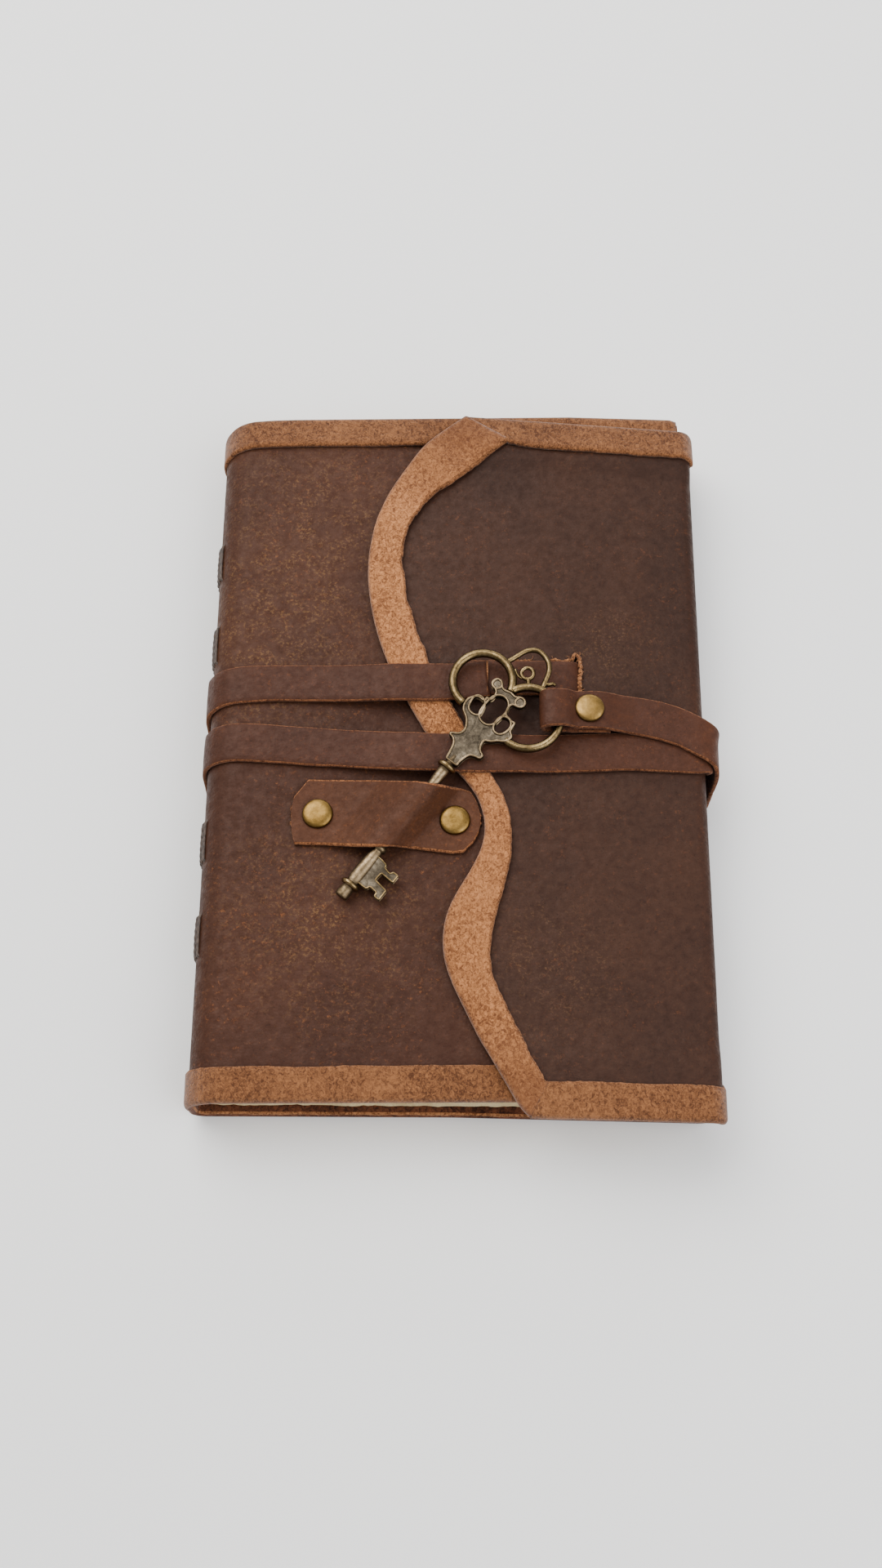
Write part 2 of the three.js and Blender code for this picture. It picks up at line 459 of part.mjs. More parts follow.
const smallRing = new THREE.TorusGeometry(1.45, 0.38, 6, 12);
smallRing.translate(72.3, -0.9, 0);
const bow = [
  solid(prism(bitOutline.slice().reverse(), -0.8, 0.8)),
  solid(prism(plateOutline, -KEY_T / 2, KEY_T / 2, plateHoles)),
  wire(arc(64.0, 7.4, 7.6, 176, -74, 22), 0.8),
  wire(arc(63.7, -8.75, 8.2, 64, -184, 24), 0.8),
  wire([[70.9, 5.4, 0], [72.8, 4.5, 0], [74.5, 3.9, 0], [76.6, 3.2, 0], [78.1, 2.0, 0], [78.9, 0.3, 0], [78.5, -1.8, 0],
    [77.6, -3.6, 0], [76.3, -4.7, 0], [74.8, -5.3, 0], [73.2, -5.7, 0], [71.2, -6.3, 0]], 0.45, 6),
  wire([[72.6, -5.9, 0], [73.1, -7.0, 0], [74.0, -7.5, 0], [73.9, -8.3, 0]], 0.38, 6),
  solid(smallRing),
  wire([[71.4, -1.9, 0], [69.4, -3.5, 0]], 0.45, 6),
];
let key = solid(shank);
for (const piece of bow) key = key.add(piece);
const keyMesh = part('skeleton_key', geometryOf(key), brass);
keyMesh.applyMatrix4(keyMatrix);

// ------------------------------------------------------------ origin of the part
// centre of the bounding box in plan, lowest point at z = 0
journal.updateMatrixWorld(true);
const bounds = new THREE.Box3().setFromObject(journal, true);
const centre = bounds.getCenter(new THREE.Vector3());
journal.position.set(-centre.x, -centre.y, -bounds.min.z);
journal.updateMatrixWorld(true);

export default journal;
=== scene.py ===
"""Leather wrap journal with a strap and a skeleton key: the detailed look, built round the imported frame."""
import math

import bpy
import numpy as np
from mathutils import Matrix, Vector


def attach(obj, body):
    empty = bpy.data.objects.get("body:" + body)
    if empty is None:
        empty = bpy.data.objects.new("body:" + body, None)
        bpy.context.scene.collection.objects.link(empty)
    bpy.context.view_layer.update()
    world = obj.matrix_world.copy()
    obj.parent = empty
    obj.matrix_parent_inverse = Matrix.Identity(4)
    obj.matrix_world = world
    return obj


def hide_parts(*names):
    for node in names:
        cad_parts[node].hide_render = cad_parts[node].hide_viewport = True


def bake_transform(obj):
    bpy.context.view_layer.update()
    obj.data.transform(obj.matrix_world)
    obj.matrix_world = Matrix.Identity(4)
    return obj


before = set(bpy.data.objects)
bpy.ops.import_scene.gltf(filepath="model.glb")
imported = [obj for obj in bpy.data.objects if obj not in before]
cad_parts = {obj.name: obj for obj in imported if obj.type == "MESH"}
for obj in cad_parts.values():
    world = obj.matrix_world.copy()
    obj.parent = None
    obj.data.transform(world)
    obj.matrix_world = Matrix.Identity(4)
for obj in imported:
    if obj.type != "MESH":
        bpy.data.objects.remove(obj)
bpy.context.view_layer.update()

# Lengths below are in millimetres in the drawing's own place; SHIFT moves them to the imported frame.
SHIFT = np.array([-0.65, 2.40, 0.0])
T = 1.4                       # cover leather
FRONT_Z = 18.4
FLAP_Z = 20.1
RAISED = FLAP_Z + T
rng = np.random.default_rng(7)


def metres(p):
    return (np.asarray(p, float) + SHIFT) / 1000.0


# ------------------------------------------------------------------ noise in code
_waves = [(rng.normal(size=2), rng.uniform(0, 6.28)) for _ in range(60)]


def ripple(x, y, length, seed=0, octaves=3):
    """Smooth pseudo-random field, about -1 to 1, with features of `length` mm."""
    out = np.zeros(np.broadcast(np.asarray(x, float), np.asarray(y, float)).shape)
    amp, k, total = 1.0, 2 * math.pi / length, 0.0
    for o in range(octaves):
        s = np.zeros_like(out)
        for j in range(5):
            (a, b), ph = _waves[(seed * 7 + o * 5 + j) % 60]
            s += np.sin(k * (a * x + b * y) * 0.7 + ph + seed * 1.7 + j)
        out += amp * s / 2.6
        total += amp
        amp *= 0.5
        k *= 2.1
    return out / total


# ------------------------------------------------------------------ mesh helpers
def make_mesh(name, verts, faces, mats, index=None, smooth=True):
    me = bpy.data.meshes.new(name)
    me.from_pydata([tuple(v) for v in metres(verts)], [], [tuple(int(i) for i in f) for f in faces])
    for m in mats:
        me.materials.append(m)
    if index is not None:
        me.polygons.foreach_set("material_index", np.asarray(index, np.int32))
    if smooth:
        me.polygons.foreach_set("use_smooth", np.ones(len(me.polygons), bool))
    me.update()
    ob = bpy.data.objects.new(name, me)
    bpy.context.scene.collection.objects.link(ob)
    # outward faces
    import bmesh
    bm = bmesh.new()
    bm.from_mesh(me)
    bmesh.ops.recalc_face_normals(bm, faces=bm.faces)
    bm.to_mesh(me)
    bm.free()
    return ob


def normals_of(P):
    du = np.gradient(P, axis=0)
    dv = np.gradient(P, axis=1)
    n = np.cross(du, dv)
    return n / np.maximum(np.linalg.norm(n, axis=2, keepdims=True), 1e-9)


def sheet(name, P, thick, mats, flip=False, arc=4, rough=0.0, seed=1):
    """Closed leather sheet about the middle surface P (nu x nv x 3), with rounded cut edges.
    Materials: 0 outer face, 1 edge, 2 inner face."""
    nu, nv, _ = P.shape
    N = normals_of(P)
    if flip:
        N = -N
    h = thick / 2
    top = (P + N * h).reshape(-1, 3)
    bot = (P - N * h).reshape(-1, 3)
    ij = [(i, 0) for i in range(nu)] + [(nu - 1, j) for j in range(1, nv)] + \
         [(i, nv - 1) for i in range(nu - 2, -1, -1)] + [(0, j) for j in range(nv - 2, 0, -1)]
    out = []
    for (i, j) in ij:
        d = np.zeros(3)
        if i == 0:
            d += P[0, j] - P[1, j]
        if i == nu - 1:
            d += P[-1, j] - P[-2, j]
        d = d / max(np.linalg.norm(d), 1e-9)
        e = np.zeros(3)
        if j == 0:
            e += P[i, 0] - P[i, 1]
        if j == nv - 1:
            e += P[i, -1] - P[i, -2]
        e = e / max(np.linalg.norm(e), 1e-9)
        d = d + e
        out.append(d / max(np.linalg.norm(d), 1e-9))
    out = np.array(out)
    B = np.array([P[i, j] for i, j in ij])
    NB = np.array([N[i, j] for i, j in ij])
    if rough:
        s = np.arange(len(B))
        jitter = ripple(B[:, 0] + B[:, 2], B[:, 1], 2.2, seed, 3) * rough
        B = B + out * jitter[:, None]
    idx = np.array([i * nv + j for i, j in ij])
    verts = [top, bot]
    nb = len(ij)
    rings = [idx]
    base = 2 * nu * nv
    for k in range(1, arc):
        a = math.pi / 2 - math.pi * k / arc
        ring = B + out * (h * math.cos(a)) + NB * (h * math.sin(a))
        verts.append(ring)
        rings.append(np.arange(base, base + nb))
        base += nb
    rings.append(idx + nu * nv)
    faces, mat = [], []
    I, J = np.meshgrid(np.arange(nu - 1), np.arange(nv - 1), indexing="ij")
    a = (I * nv + J).ravel()
    quad = np.stack([a, a + nv, a + nv + 1, a + 1], 1)
    faces += quad.tolist()
    mat += [0] * len(quad)
    faces += (quad[:, ::-1] + nu * nv).tolist()
    mat += [2] * len(quad)
    for r0, r1 in zip(rings[:-1], rings[1:]):
        for m in range(nb):
            n = (m + 1) % nb
            faces.append([r0[m], r0[n], r1[n], r1[m]])
            mat.append(1)
    return make_mesh(name, np.concatenate(verts), faces, mats, mat)


def sweep(name, O, A, N, profile, mats, seg_mat, wobble=None, cap=0):
    """Closed profile of (along A, along N) carried along the stations O. wobble(i, k) may move profile points."""
    n, k = len(O), len(profile)
    prof = np.asarray(profile, float)
    V = np.zeros((n, k, 3))
    for i in range(n):
        pr = prof if wobble is None else wobble(i, prof)
        V[i] = O[i] + pr[:, :1] * A[i] + pr[:, 1:2] * N[i]
    faces, mat = [], []
    for i in range(n - 1):
        for j in range(k):
            j2 = (j + 1) % k
            faces.append([i * k + j, i * k + j2, (i + 1) * k + j2, (i + 1) * k + j])
            mat.append(seg_mat[j])
    c0, c1 = n * k, n * k + 1
    verts = np.concatenate([V.reshape(-1, 3), V[0].mean(0)[None], V[-1].mean(0)[None]])
    for j in range(k):
        j2 = (j + 1) % k
        faces.append([j2, j, c0])
        faces.append([(n - 1) * k + j, (n - 1) * k + j2, c1])
        mat += [cap] * 2
    return make_mesh(name, verts, faces, mats, mat)


def resample(points, step):
    p = np.asarray(points, float)
    d = np.r_[0, np.cumsum(np.linalg.norm(np.diff(p, axis=0), axis=1))]
    n = max(2, int(round(d[-1] / step)) + 1)
    s = np.linspace(0, d[-1], n)
    return np.stack([np.interp(s, d, p[:, c]) for c in range(p.shape[1])], 1)


def smooth_line(p, passes, closed=False):
    p = np.array(p, float)
    for _ in range(passes):
        if closed:
            p = 0.25 * np.roll(p, 1, 0) + 0.5 * p + 0.25 * np.roll(p, -1, 0)
        else:
            q = p.copy()
            q[1:-1] = 0.25 * p[:-2] + 0.5 * p[1:-1] + 0.25 * p[2:]
            p = q
    return p


def unit(v):
    v = np.asarray(v, float)
    return v / np.maximum(np.linalg.norm(v, axis=-1, keepdims=True), 1e-12)


# ------------------------------------------------------------------ materials
def new_material(name):
    m = bpy.data.materials.new(name)
    m.use_nodes = True
    nt = m.node_tree
    return m, nt, nt.nodes["Principled BSDF"]


class Nodes:
    def __init__(self, nt):
        self.nt = nt
        self.co = nt.nodes.new("ShaderNodeTexCoord").outputs["Object"]

    def link(self, a, b):
        self.nt.links.new(a, b)

    def scaled(self, s):
        n = self.nt.nodes.new("ShaderNodeMapping")
        n.inputs["Scale"].default_value = s
        self.link(self.co, n.inputs["Vector"])
        return n.outputs[0]

    def noise(self, scale, detail=6.0, rough=0.6, vec=None, distortion=0.0):
        n = self.nt.nodes.new("ShaderNodeTexNoise")
        n.inputs["Scale"].default_value = scale
        n.inputs["Detail"].default_value = detail
        n.inputs["Roughness"].default_value = rough
        n.inputs["Distortion"].default_value = distortion
        self.link(vec or self.co, n.inputs["Vector"])
        return n.outputs["Fac"]

    def voronoi(self, scale, feature="F1", vec=None):
        n = self.nt.nodes.new("ShaderNodeTexVoronoi")
        n.feature = feature
        n.inputs["Scale"].default_value = scale
        self.link(vec or self.co, n.inputs["Vector"])
        return n.outputs["Distance"]

    def ramp(self, fac, stops):
        n = self.nt.nodes.new("ShaderNodeValToRGB")
        cr = n.color_ramp
        while len(cr.elements) < len(stops):
            cr.elements.new(0.5)
        for e, (pos, col) in zip(cr.elements, stops):
            e.position = pos
            e.color = (*col, 1) if len(col) == 3 else col
        self.link(fac, n.inputs["Fac"])
        return n.outputs["Color"]

    def grey(self, fac, lo, hi, a=0.0, b=1.0):
        n = self.nt.nodes.new("ShaderNodeMapRange")
        n.inputs["From Min"].default_value = lo
        n.inputs["From Max"].default_value = hi
        n.inputs["To Min"].default_value = a
        n.inputs["To Max"].default_value = b
        self.link(fac, n.inputs["Value"])
        return n.outputs["Result"]

    def mix(self, fac, a, b, blend="MIX"):
        n = self.nt.nodes.new("ShaderNodeMix")
        n.data_type = "RGBA"
        n.blend_type = blend
        for sock, v in ((n.inputs[0], fac), (n.inputs[6], a), (n.inputs[7], b)):
            if isinstance(v, (int, float)):
                sock.default_value = v
            elif isinstance(v, tuple):
                sock.default_value = (*v, 1)
            else:
                self.link(v, sock)
        return n.outputs[2]

    def math(self, op, a, b):
        n = self.nt.nodes.new("ShaderNodeMath")
        n.operation = op
        for sock, v in ((n.inputs[0], a), (n.inputs[1], b)):
            if isinstance(v, (int, float)):
                sock.default_value = v
            else:
                self.link(v, sock)
        return n.outputs[0]

    def bump(self, height, distance, strength=1.0, normal=None):
        n = self.nt.nodes.new("ShaderNodeBump")
        n.inputs["Strength"].default_value = strength
        n.inputs["Distance"].default_value = distance
        self.link(height, n.inputs["Height"])
        if normal is not None:
            self.link(normal, n.inputs["Normal"])
        return n.outputs["Normal"]


def oiled_leather(name, dark, mid, light, speck, speckle=0.5, rough=(0.42, 0.68), other=None, rubs=()):
    """other: the palette that the leather drifts to towards +X. rubs: (x, y, z, radius) in mm, scuffed places."""
    m, nt, bsdf = new_material(name)
    n = Nodes(nt)
    broad = n.noise(26, 4, 0.55)
    fine = n.noise(520, 8, 0.66)
    cloud = n.mix(0.42, broad, fine)
    base = n.ramp(cloud, [(0.34, dark), (0.5, mid), (0.66, light)])
    if other is not None:
        sep = nt.nodes.new("ShaderNodeSeparateXYZ")
        n.link(n.co, sep.inputs[0])
        base = n.mix(n.grey(sep.outputs["X"], -0.05, 0.055), base, n.ramp(cloud, [(0.34, other[0]), (0.5, other[1]), (0.66, other[2])]))
    grain = n.noise(900, 10, 0.75)
    spots = n.math("MULTIPLY", n.grey(grain, 0.55, 0.68), n.grey(n.noise(70, 5, 0.7), 0.40, 0.62))
    col = n.mix(n.math("MULTIPLY", spots, speckle), base, speck)
    for (rx, ry, rz, rad) in rubs:
        d = nt.nodes.new("ShaderNodeVectorMath")
        d.operation = "DISTANCE"
        n.link(n.co, d.inputs[0])
        d.inputs[1].default_value = tuple(metres((rx, ry, rz)))
        near_ = n.grey(d.outputs["Value"], 0.0, rad / 1000.0, 1.0, 0.0)
        worn = n.math("MULTIPLY", near_, n.math("MULTIPLY", n.grey(n.noise(1250, 6, 0.72), 0.50, 0.63), n.grey(n.noise(210, 5, 0.7), 0.40, 0.60)))
        col = n.mix(n.math("MULTIPLY", worn, 0.44), col, (speck[0] * 1.05, speck[1] * 1.65, speck[2] * 2.1))
        col = n.mix(n.math("MULTIPLY", near_, 0.10), col, tuple(a * 1.5 for a in light))
    pits = n.grey(n.noise(1500, 4, 0.7), 0.30, 0.42, 1.0, 0.0)
    col = n.mix(n.math("MULTIPLY", pits, 0.55), col, tuple(c * 0.35 for c in dark))
    n.link(col, bsdf.inputs["Base Color"])
    n.link(n.grey(fine, 0.35, 0.65, rough[1], rough[0]), bsdf.inputs["Roughness"])
    cells = n.voronoi(1100, "F1", n.scaled((1.0, 1.25, 1.0)))
    b1 = n.bump(n.grey(cells, 0.0, 0.6), 0.00010, 0.55)
    b2 = n.bump(grain, 0.00014, 0.6, b1)
    b3 = n.bump(n.noise(150, 5, 0.6), 0.00032, 0.5, b2)
    n.link(b3, bsdf.inputs["Normal"])
    bsdf.inputs["Specular IOR Level"].default_value = 0.14
    return m


def suede(name, dark, light, scale=1250, depth=0.00024, sheen=0.25, other=None):
    """other: (dark, light) that the colour drifts to near the head and the tail, and a little below the middle."""
    m, nt, bsdf = new_material(name)
    n = Nodes(nt)
    broad = n.noise(60, 5, 0.6)
    fibre = n.noise(scale, 4, 0.64, n.scaled((1.0, 0.8, 1.0)), 1.1)
    fine = n.noise(scale * 2.3, 3, 0.6)
    tone = n.mix(0.20, n.mix(0.24, fibre, fine), broad)
    dark, light = tuple(c * 0.74 for c in dark), tuple(c * 1.15 for c in light)

    def tint(lo, hi):
        return n.ramp(tone, [(0.41, lo), (0.5, tuple((a + b) / 2 for a, b in zip(lo, hi))), (0.59, hi)])
    col = tint(dark, light)
    if other is not None:
        sep = nt.nodes.new("ShaderNodeSeparateXYZ")
        n.link(n.co, sep.inputs[0])
        ends = n.grey(n.math("ABSOLUTE", sep.outputs["Y"], 0.0), 0.062, 0.088)
        lower = n.grey(sep.outputs["Y"], -0.030, 0.002, 0.30, 0.0)
        col = n.mix(n.math("MAXIMUM", ends, lower), col, tint(*other))
    pits = n.grey(n.noise(scale * 0.62, 6, 0.7), 0.30, 0.43, 1.0, 0.0)
    col = n.mix(n.math("MULTIPLY", pits, 0.34), col, tuple(c * 0.6 for c in dark))
    n.link(col, bsdf.inputs["Base Color"])
    bsdf.inputs["Roughness"].default_value = 0.95
    bsdf.inputs["Specular IOR Level"].default_value = 0.15
    bsdf.inputs["Sheen Weight"].default_value = sheen
    bsdf.inputs["Sheen Roughness"].default_value = 0.5
    b = n.bump(fibre, depth, 1.0)
    n.link(n.bump(n.noise(260, 6, 0.7), 0.0005, 0.7, b), bsdf.inputs["Normal"])
    return m


def brass(name, dark, mid, light, rough=(0.28, 0.55), metal=1.0, side_shade=0.85, low=0.30, high=0.97):
    """Painted shade: faces are darkened by how far their normals tilt from upright, so the steep sides read as shaded
    and the upward faces stay bright as if lit from above; the last three arguments set how dark, and over which tilts.
    """
    m, nt, bsdf = new_material(name)
    n = Nodes(nt)
    a = n.noise(260, 8, 0.7)
    b = n.noise(1300, 6, 0.7)
    col = n.ramp(n.mix(0.4, a, b), [(0.36, dark), (0.52, mid), (0.68, light)])
    tc = nt.nodes.new("ShaderNodeTexCoord")
    sep = nt.nodes.new("ShaderNodeSeparateXYZ")
    n.link(tc.outputs["Normal"], sep.inputs[0])
    # painted shade: steep faces blend towards a dark copy of the mid colour, as if in shade, with a little noise in how
    # dark
    steep = n.grey(n.math("ABSOLUTE", sep.outputs["Z"], 0.0), low, high, 1.0, 0.0)
    steep = n.math("MULTIPLY", steep, n.grey(n.noise(900, 5, 0.7), 0.30, 0.62, 1.15, 0.75))
    col = n.mix(n.math("MULTIPLY", steep, side_shade), col, tuple(c * 0.22 for c in mid))
    n.link(col, bsdf.inputs["Base Color"])
    bsdf.inputs["Metallic"].default_value = metal
    n.link(n.grey(a, 0.35, 0.65, rough[1], rough[0]), bsdf.inputs["Roughness"])
    n.link(n.bump(n.noise(700, 8, 0.72), 0.00010, 0.7), bsdf.inputs["Normal"])
    return m


def paper(name):
    m, nt, bsdf = new_material(name)
    n = Nodes(nt)
    a = n.noise(120, 6, 0.65)
    fibre = n.noise(2200, 8, 0.75, n.scaled((1.0, 0.5, 1.0)))
    col = n.ramp(n.mix(0.5, a, fibre), [(0.34, (0.46, 0.33, 0.155)), (0.52, (0.69, 0.55, 0.31)), (0.68, (0.83, 0.72, 0.49))])
    n.link(col, bsdf.inputs["Base Color"])
    bsdf.inputs["Roughness"].default_value = 0.92
    bsdf.inputs["Specular IOR Level"].default_value = 0.15
    n.link(n.bump(fibre, 0.00012, 0.9), bsdf.inputs["Normal"])
    return m


def thread_material(name):
    m, nt, bsdf = new_material(name)
    n = Nodes(nt)
    w = n.noise(2600, 4, 0.6, n.scaled((1.0, 0.35, 1.6)))
    n.link(n.ramp(w, [(0.35, (0.015, 0.009, 0.006)), (0.65, (0.080, 0.048, 0.033))]), bsdf.inputs["Base Color"])
    bsdf.inputs["Roughness"].default_value = 0.5
    n.link(n.bump(w, 0.00015, 1.0), bsdf.inputs["Normal"])
    return m


def shade(c, k):
    return tuple(a * b for a, b in zip(c, k))


COVER_TONES = [shade(c, (1.02, 0.99, 0.90)) for c in ((0.030, 0.0108, 0.0062), (0.045, 0.0165, 0.0092), (0.064, 0.0245, 0.0130))]
FLAP_TONES = [shade(c, (1.05, 1.03, 0.925)) for c in ((0.019, 0.0082, 0.0056), (0.030, 0.0122, 0.0078), (0.044, 0.0180, 0.0108))]
TAB_TONES = [shade(c, (1.61, 1.71, 1.26)) for c in ((0.027, 0.0086, 0.0050), (0.043, 0.0138, 0.0076), (0.064, 0.0210, 0.0108))]
front_leather = oiled_leather("front_leather", *COVER_TONES, (0.27, 0.088, 0.024), 0.60, rubs=[(-40, 55, 20, 42), (-52, 20, 20, 34), (-30, -48, 20, 36)])
back_leather = oiled_leather("back_leather", *COVER_TONES, (0.22, 0.072, 0.021), 0.5, other=FLAP_TONES, rubs=[(30, 50, 0, 34), (-20, -40, 0, 42)])
flap_leather = oiled_leather("flap_leather_look", *FLAP_TONES, (0.17, 0.056, 0.018), 0.45, rubs=[(38, 24, 22, 17), (22, -60, 22, 24)])
strap_leather = oiled_leather("strap_leather_look", (0.0335, 0.0113, 0.0058), (0.0525, 0.0181, 0.0090), (0.077, 0.0271, 0.0129), (0.24, 0.072, 0.020), 0.45, (0.40, 0.62))
tab_leather = oiled_leather("tab_leather_look", *TAB_TONES, (0.26, 0.082, 0.022), 0.45, (0.42, 0.64))
suede_tan = suede("suede_hem", (0.093, 0.0305, 0.0096), (0.218, 0.0875, 0.0323))
suede_wave = suede("suede_wave_hem", (0.183, 0.061, 0.0185), (0.45, 0.182, 0.064), other=((0.100, 0.032, 0.0100), (0.235, 0.092, 0.034)))
# partly painted shade: the flesh side's own reddish suede, darkened below the tone of the suede hems to stand for the
# shade it lies in inside the covers
shaded_flesh = suede("flesh_side_shaded", (0.042, 0.0125, 0.0062), (0.13, 0.045, 0.021), 900, 0.0003, 0.1)
cut_edge = suede("cut_edge", (0.13, 0.045, 0.016), (0.36, 0.155, 0.062), 1400, 0.0002, 0.1)
hem_edge = suede("hem_edge", (0.085, 0.029, 0.0095), (0.25, 0.100, 0.038), 1400, 0.0002, 0.1)
# partly painted shade: the tab's cut-edge tan, darkened to stand for the shade on the lower part of the edge, so only a
# thin light line shows
tab_edge_with_shade = suede("tab_edge_with_shade", (0.060, 0.019, 0.008), (0.26, 0.100, 0.038), 1500, 0.0002, 0.05)
strap_edge = suede("strap_edge", (0.075, 0.024, 0.010), (0.20, 0.075, 0.030), 1400, 0.0002, 0.05)
# the key's brass: its sides get the painted shade of brass(), the tops left bright as if lit
key_face = brass("key_face", (0.026, 0.0200, 0.0138), (0.090, 0.072, 0.050), (0.22, 0.180, 0.131), (0.42, 0.60))
key_rim = brass("key_rim", (0.085, 0.058, 0.030), (0.225, 0.160, 0.090), (0.46, 0.340, 0.205), (0.30, 0.48), side_shade=0.68, low=0.20, high=0.95)
key_ring = brass("key_ring", (0.055, 0.036, 0.0145), (0.185, 0.126, 0.056), (0.40, 0.285, 0.138), (0.22, 0.40), side_shade=0.72, low=0.25, high=0.97)
key_collar = brass("key_collar", (0.085, 0.055, 0.022), (0.24, 0.162, 0.072), (0.46, 0.325, 0.160), (0.22, 0.38), side_shade=0.30, low=0.10, high=0.90)
# rivet caps: the wide tilt range paints a dark ring where each dome turns down, standing for the contact shadow at its
# edge
rivet_brass = brass("rivet_cap_brass", (0.108, 0.061, 0.0150), (0.202, 0.119, 0.033), (0.285, 0.177, 0.054), (0.30, 0.46), low=0.10, high=0.75)
# painted light: a brighter copy of the keeper rivets' brass, standing for the stronger light on the strap rivet
strap_rivet_brass_lit = brass("strap_rivet_brass_lit", (0.134, 0.078, 0.0205), (0.250, 0.151, 0.046), (0.352, 0.225, 0.076), (0.30, 0.46), low=0.10, high=0.75)
page_paper = paper("deckle_paper")
thread_look = thread_material("waxed_thread_look")

# ------------------------------------------------------------------ outlines
WAVE = np.array([
    [17.5, -95.7], [15.6, -94.7], [13.9, -91.3], [12.5, -88.5], [10.4, -85.4], [9.0, -82.4],
    [6.9, -79.4], [4.9, -75.2], [1.4, -68.1], [-1.1, -62.9], [-2.6, -57.6], [-2.8, -53.0],
    [-2.2, -48.0], [0.0, -42.9], [3.7, -36.9], [6.7, -31.0], [7.7, -25.7], [6.8, -20.3],
    [4.6, -15.7], [1.7, -12.5], [-2.4, -7.6], [-6.7, -2.0], [-11.6, 6.8], [-16.7, 17.0],
    [-19.9, 26.0], [-21.8, 34.7], [-22.7, 42.2], [-22.6, 49.1], [-21.2, 58.2], [-17.7, 67.3],
    [-12.0, 76.7], [-7.3, 82.3], [-2.0, 86.6], [2.0, 89.8]])
WAVE_HEM = np.array([
    [21.5, -88.2], [20.1, -86.2], [16.5, -79.1], [14.0, -73.4], [11.5, -68.1], [8.7, -62.8], [8.3, -58.0],
    [8.5, -53.6], [9.8, -47.2], [12.0, -40.7], [13.4, -34.2], [14.0, -26.9], [13.3, -21.9],
    [11.5, -16.8], [9.2, -12.8], [4.6, -4.4], [1.6, 2.0], [-0.3, 5.1], [-6.6, 17.1],
    [-10.3, 27.9], [-12.7, 36.6], [-13.9, 44.7], [-13.8, 51.8], [-11.8, 58.8], [-7.4, 65.4],
    [-4.0, 68.1], [0.2, 71.1], [11.8, 81.1], [13.6, 82.6]])


def wave_x(y):
    w = resample(smooth_line(resample(WAVE, 2.0), 3), 1.0)
    return np.interp(y, w[:, 1], w[:, 0])


def flap_head(x):
    return np.interp(x, [-10, 2, 15, 30, 45, 56, 60.6, 61.9], [90.4, 89.8, 88.9, 87.8, 86.7, 85.9, 85.5, 84.6])


def flap_tail(x):
    return np.interp(x, [-10, 17.5, 40, 60.8, 61.9], [-95.5, -95.8, -96.2, -96.6, -96.1])


def flap_level(y):
    """Height of the flap's inner face: it lies on the cover, and steps over the cover's hems."""
    t1 = np.clip((-y - 75.0) / 7.5, 0, 1)
    t2 = np.clip((y - 74.5) / 7.0, 0, 1)
    s = lambda t: t * t * (3 - 2 * t)
    return FLAP_Z + T * (s(t1) + s(t2))


def corner(points, radius, n=8):
    """Polyline in X-Z with each inner corner rounded."""
    p = [np.asarray(q, float) for q in points]
    out = [p[0]]
    for a, b, c in zip(p[:-2], p[1:-1], p[2:]):
        u, v = unit(a - b), unit(c - b)
        ang = math.acos(float(np.clip(u @ v, -1, 1)))
        d = radius / math.tan(ang / 2)
        s, e = b + u * d, b + v * d
        centre = b + unit(u + v) * (radius / math.sin(ang / 2))
        a0 = math.atan2(*(s - centre)[::-1])
        a1 = math.atan2(*(e - centre)[::-1])
        da = (a1 - a0 + math.pi) % (2 * math.pi) - math.pi
        for k in range(n + 1):
            out.append(centre + radius * np.array([math.cos(a0 + da * k / n), math.sin(a0 + da * k / n)]))
    out.append(p[-1])
    return np.array(out)


def fill_steps(p, step):
    """Adds points on long straight stretches, keeping the given ones."""
    out = [p[0]]
    for a, b in zip(p[:-1], p[1:]):
        n = max(1, int(math.ceil(np.linalg.norm(b - a) / step)))
        for k in range(1, n + 1):
            out.append(a + (b - a) * k / n)
    return np.array(out)


def path_normals(p, outward):
    t = unit(np.gradient(p, axis=0))
    n = np.stack([-t[:, 1], t[:, 0]], 1)
    if (n[len(n) // 2] @ np.asarray(outward)) < 0:
        n = -n
    return n


# ------------------------------------------------------------------ the wrap of leather, in three stretches
def bullnose(w):
    """Turned-out hem: the leather goes round its edge and back over itself. (inward, outward from the inner face)"""
    prof = [(w - 0.35, 2 * T)]
    mats = []
    for k in range(1, 7):
        prof.append((w - 0.35 + (T - w + 0.35) * k / 6, 2 * T))
    for k in range(1, 9):
        a = math.pi / 2 + math.pi * k / 8
        prof.append((T + T * math.cos(a), T + T * math.sin(a)))
    prof += [(2 * T, 0.02), (2 * T, T * 0.6), (w - 0.5, T + 0.04), (w + 0.02, T + 0.05), (w + 0.16, T + 0.4 * T), (w + 0.10, T + 0.8 * T)]
    n = len(prof)
    for j in range(n):
        if j < 10:
            mats.append(0)
        elif j < 16:
            mats.append(2)
        else:
            mats.append(1)
    return np.array(prof), mats


HEM, HEM_MAT = bullnose(8.3)


def hem_wobble(O, seed, N):
    """The turned-out leather lies closer on the upright walls than on the covers."""
    wide = ripple(O[:, 0] + O[:, 2], O[:, 1] * 0.5, 22.0, seed, 3) * 0.22 + ripple(O[:, 0] + O[:, 2], O[:, 1], 1.6, seed + 1, 2) * 0.10
    lift = ripple(O[:, 0] - O[:, 2], O[:, 1], 16.0, seed + 2, 2) * 0.10 + 0.04

    def f(i, prof):
        q = prof.copy()
        inner = np.clip((q[:, 0] - T) / 6.0, 0, 1)
        q[:, 0] += wide[i] * inner
        q[:, 1] += np.where(q[:, 1] > T + 0.02, lift[i] * inner, 0)
        q[:, 1] *= 1 - 0.22 * abs(N[i, 0])
        return q
    return f


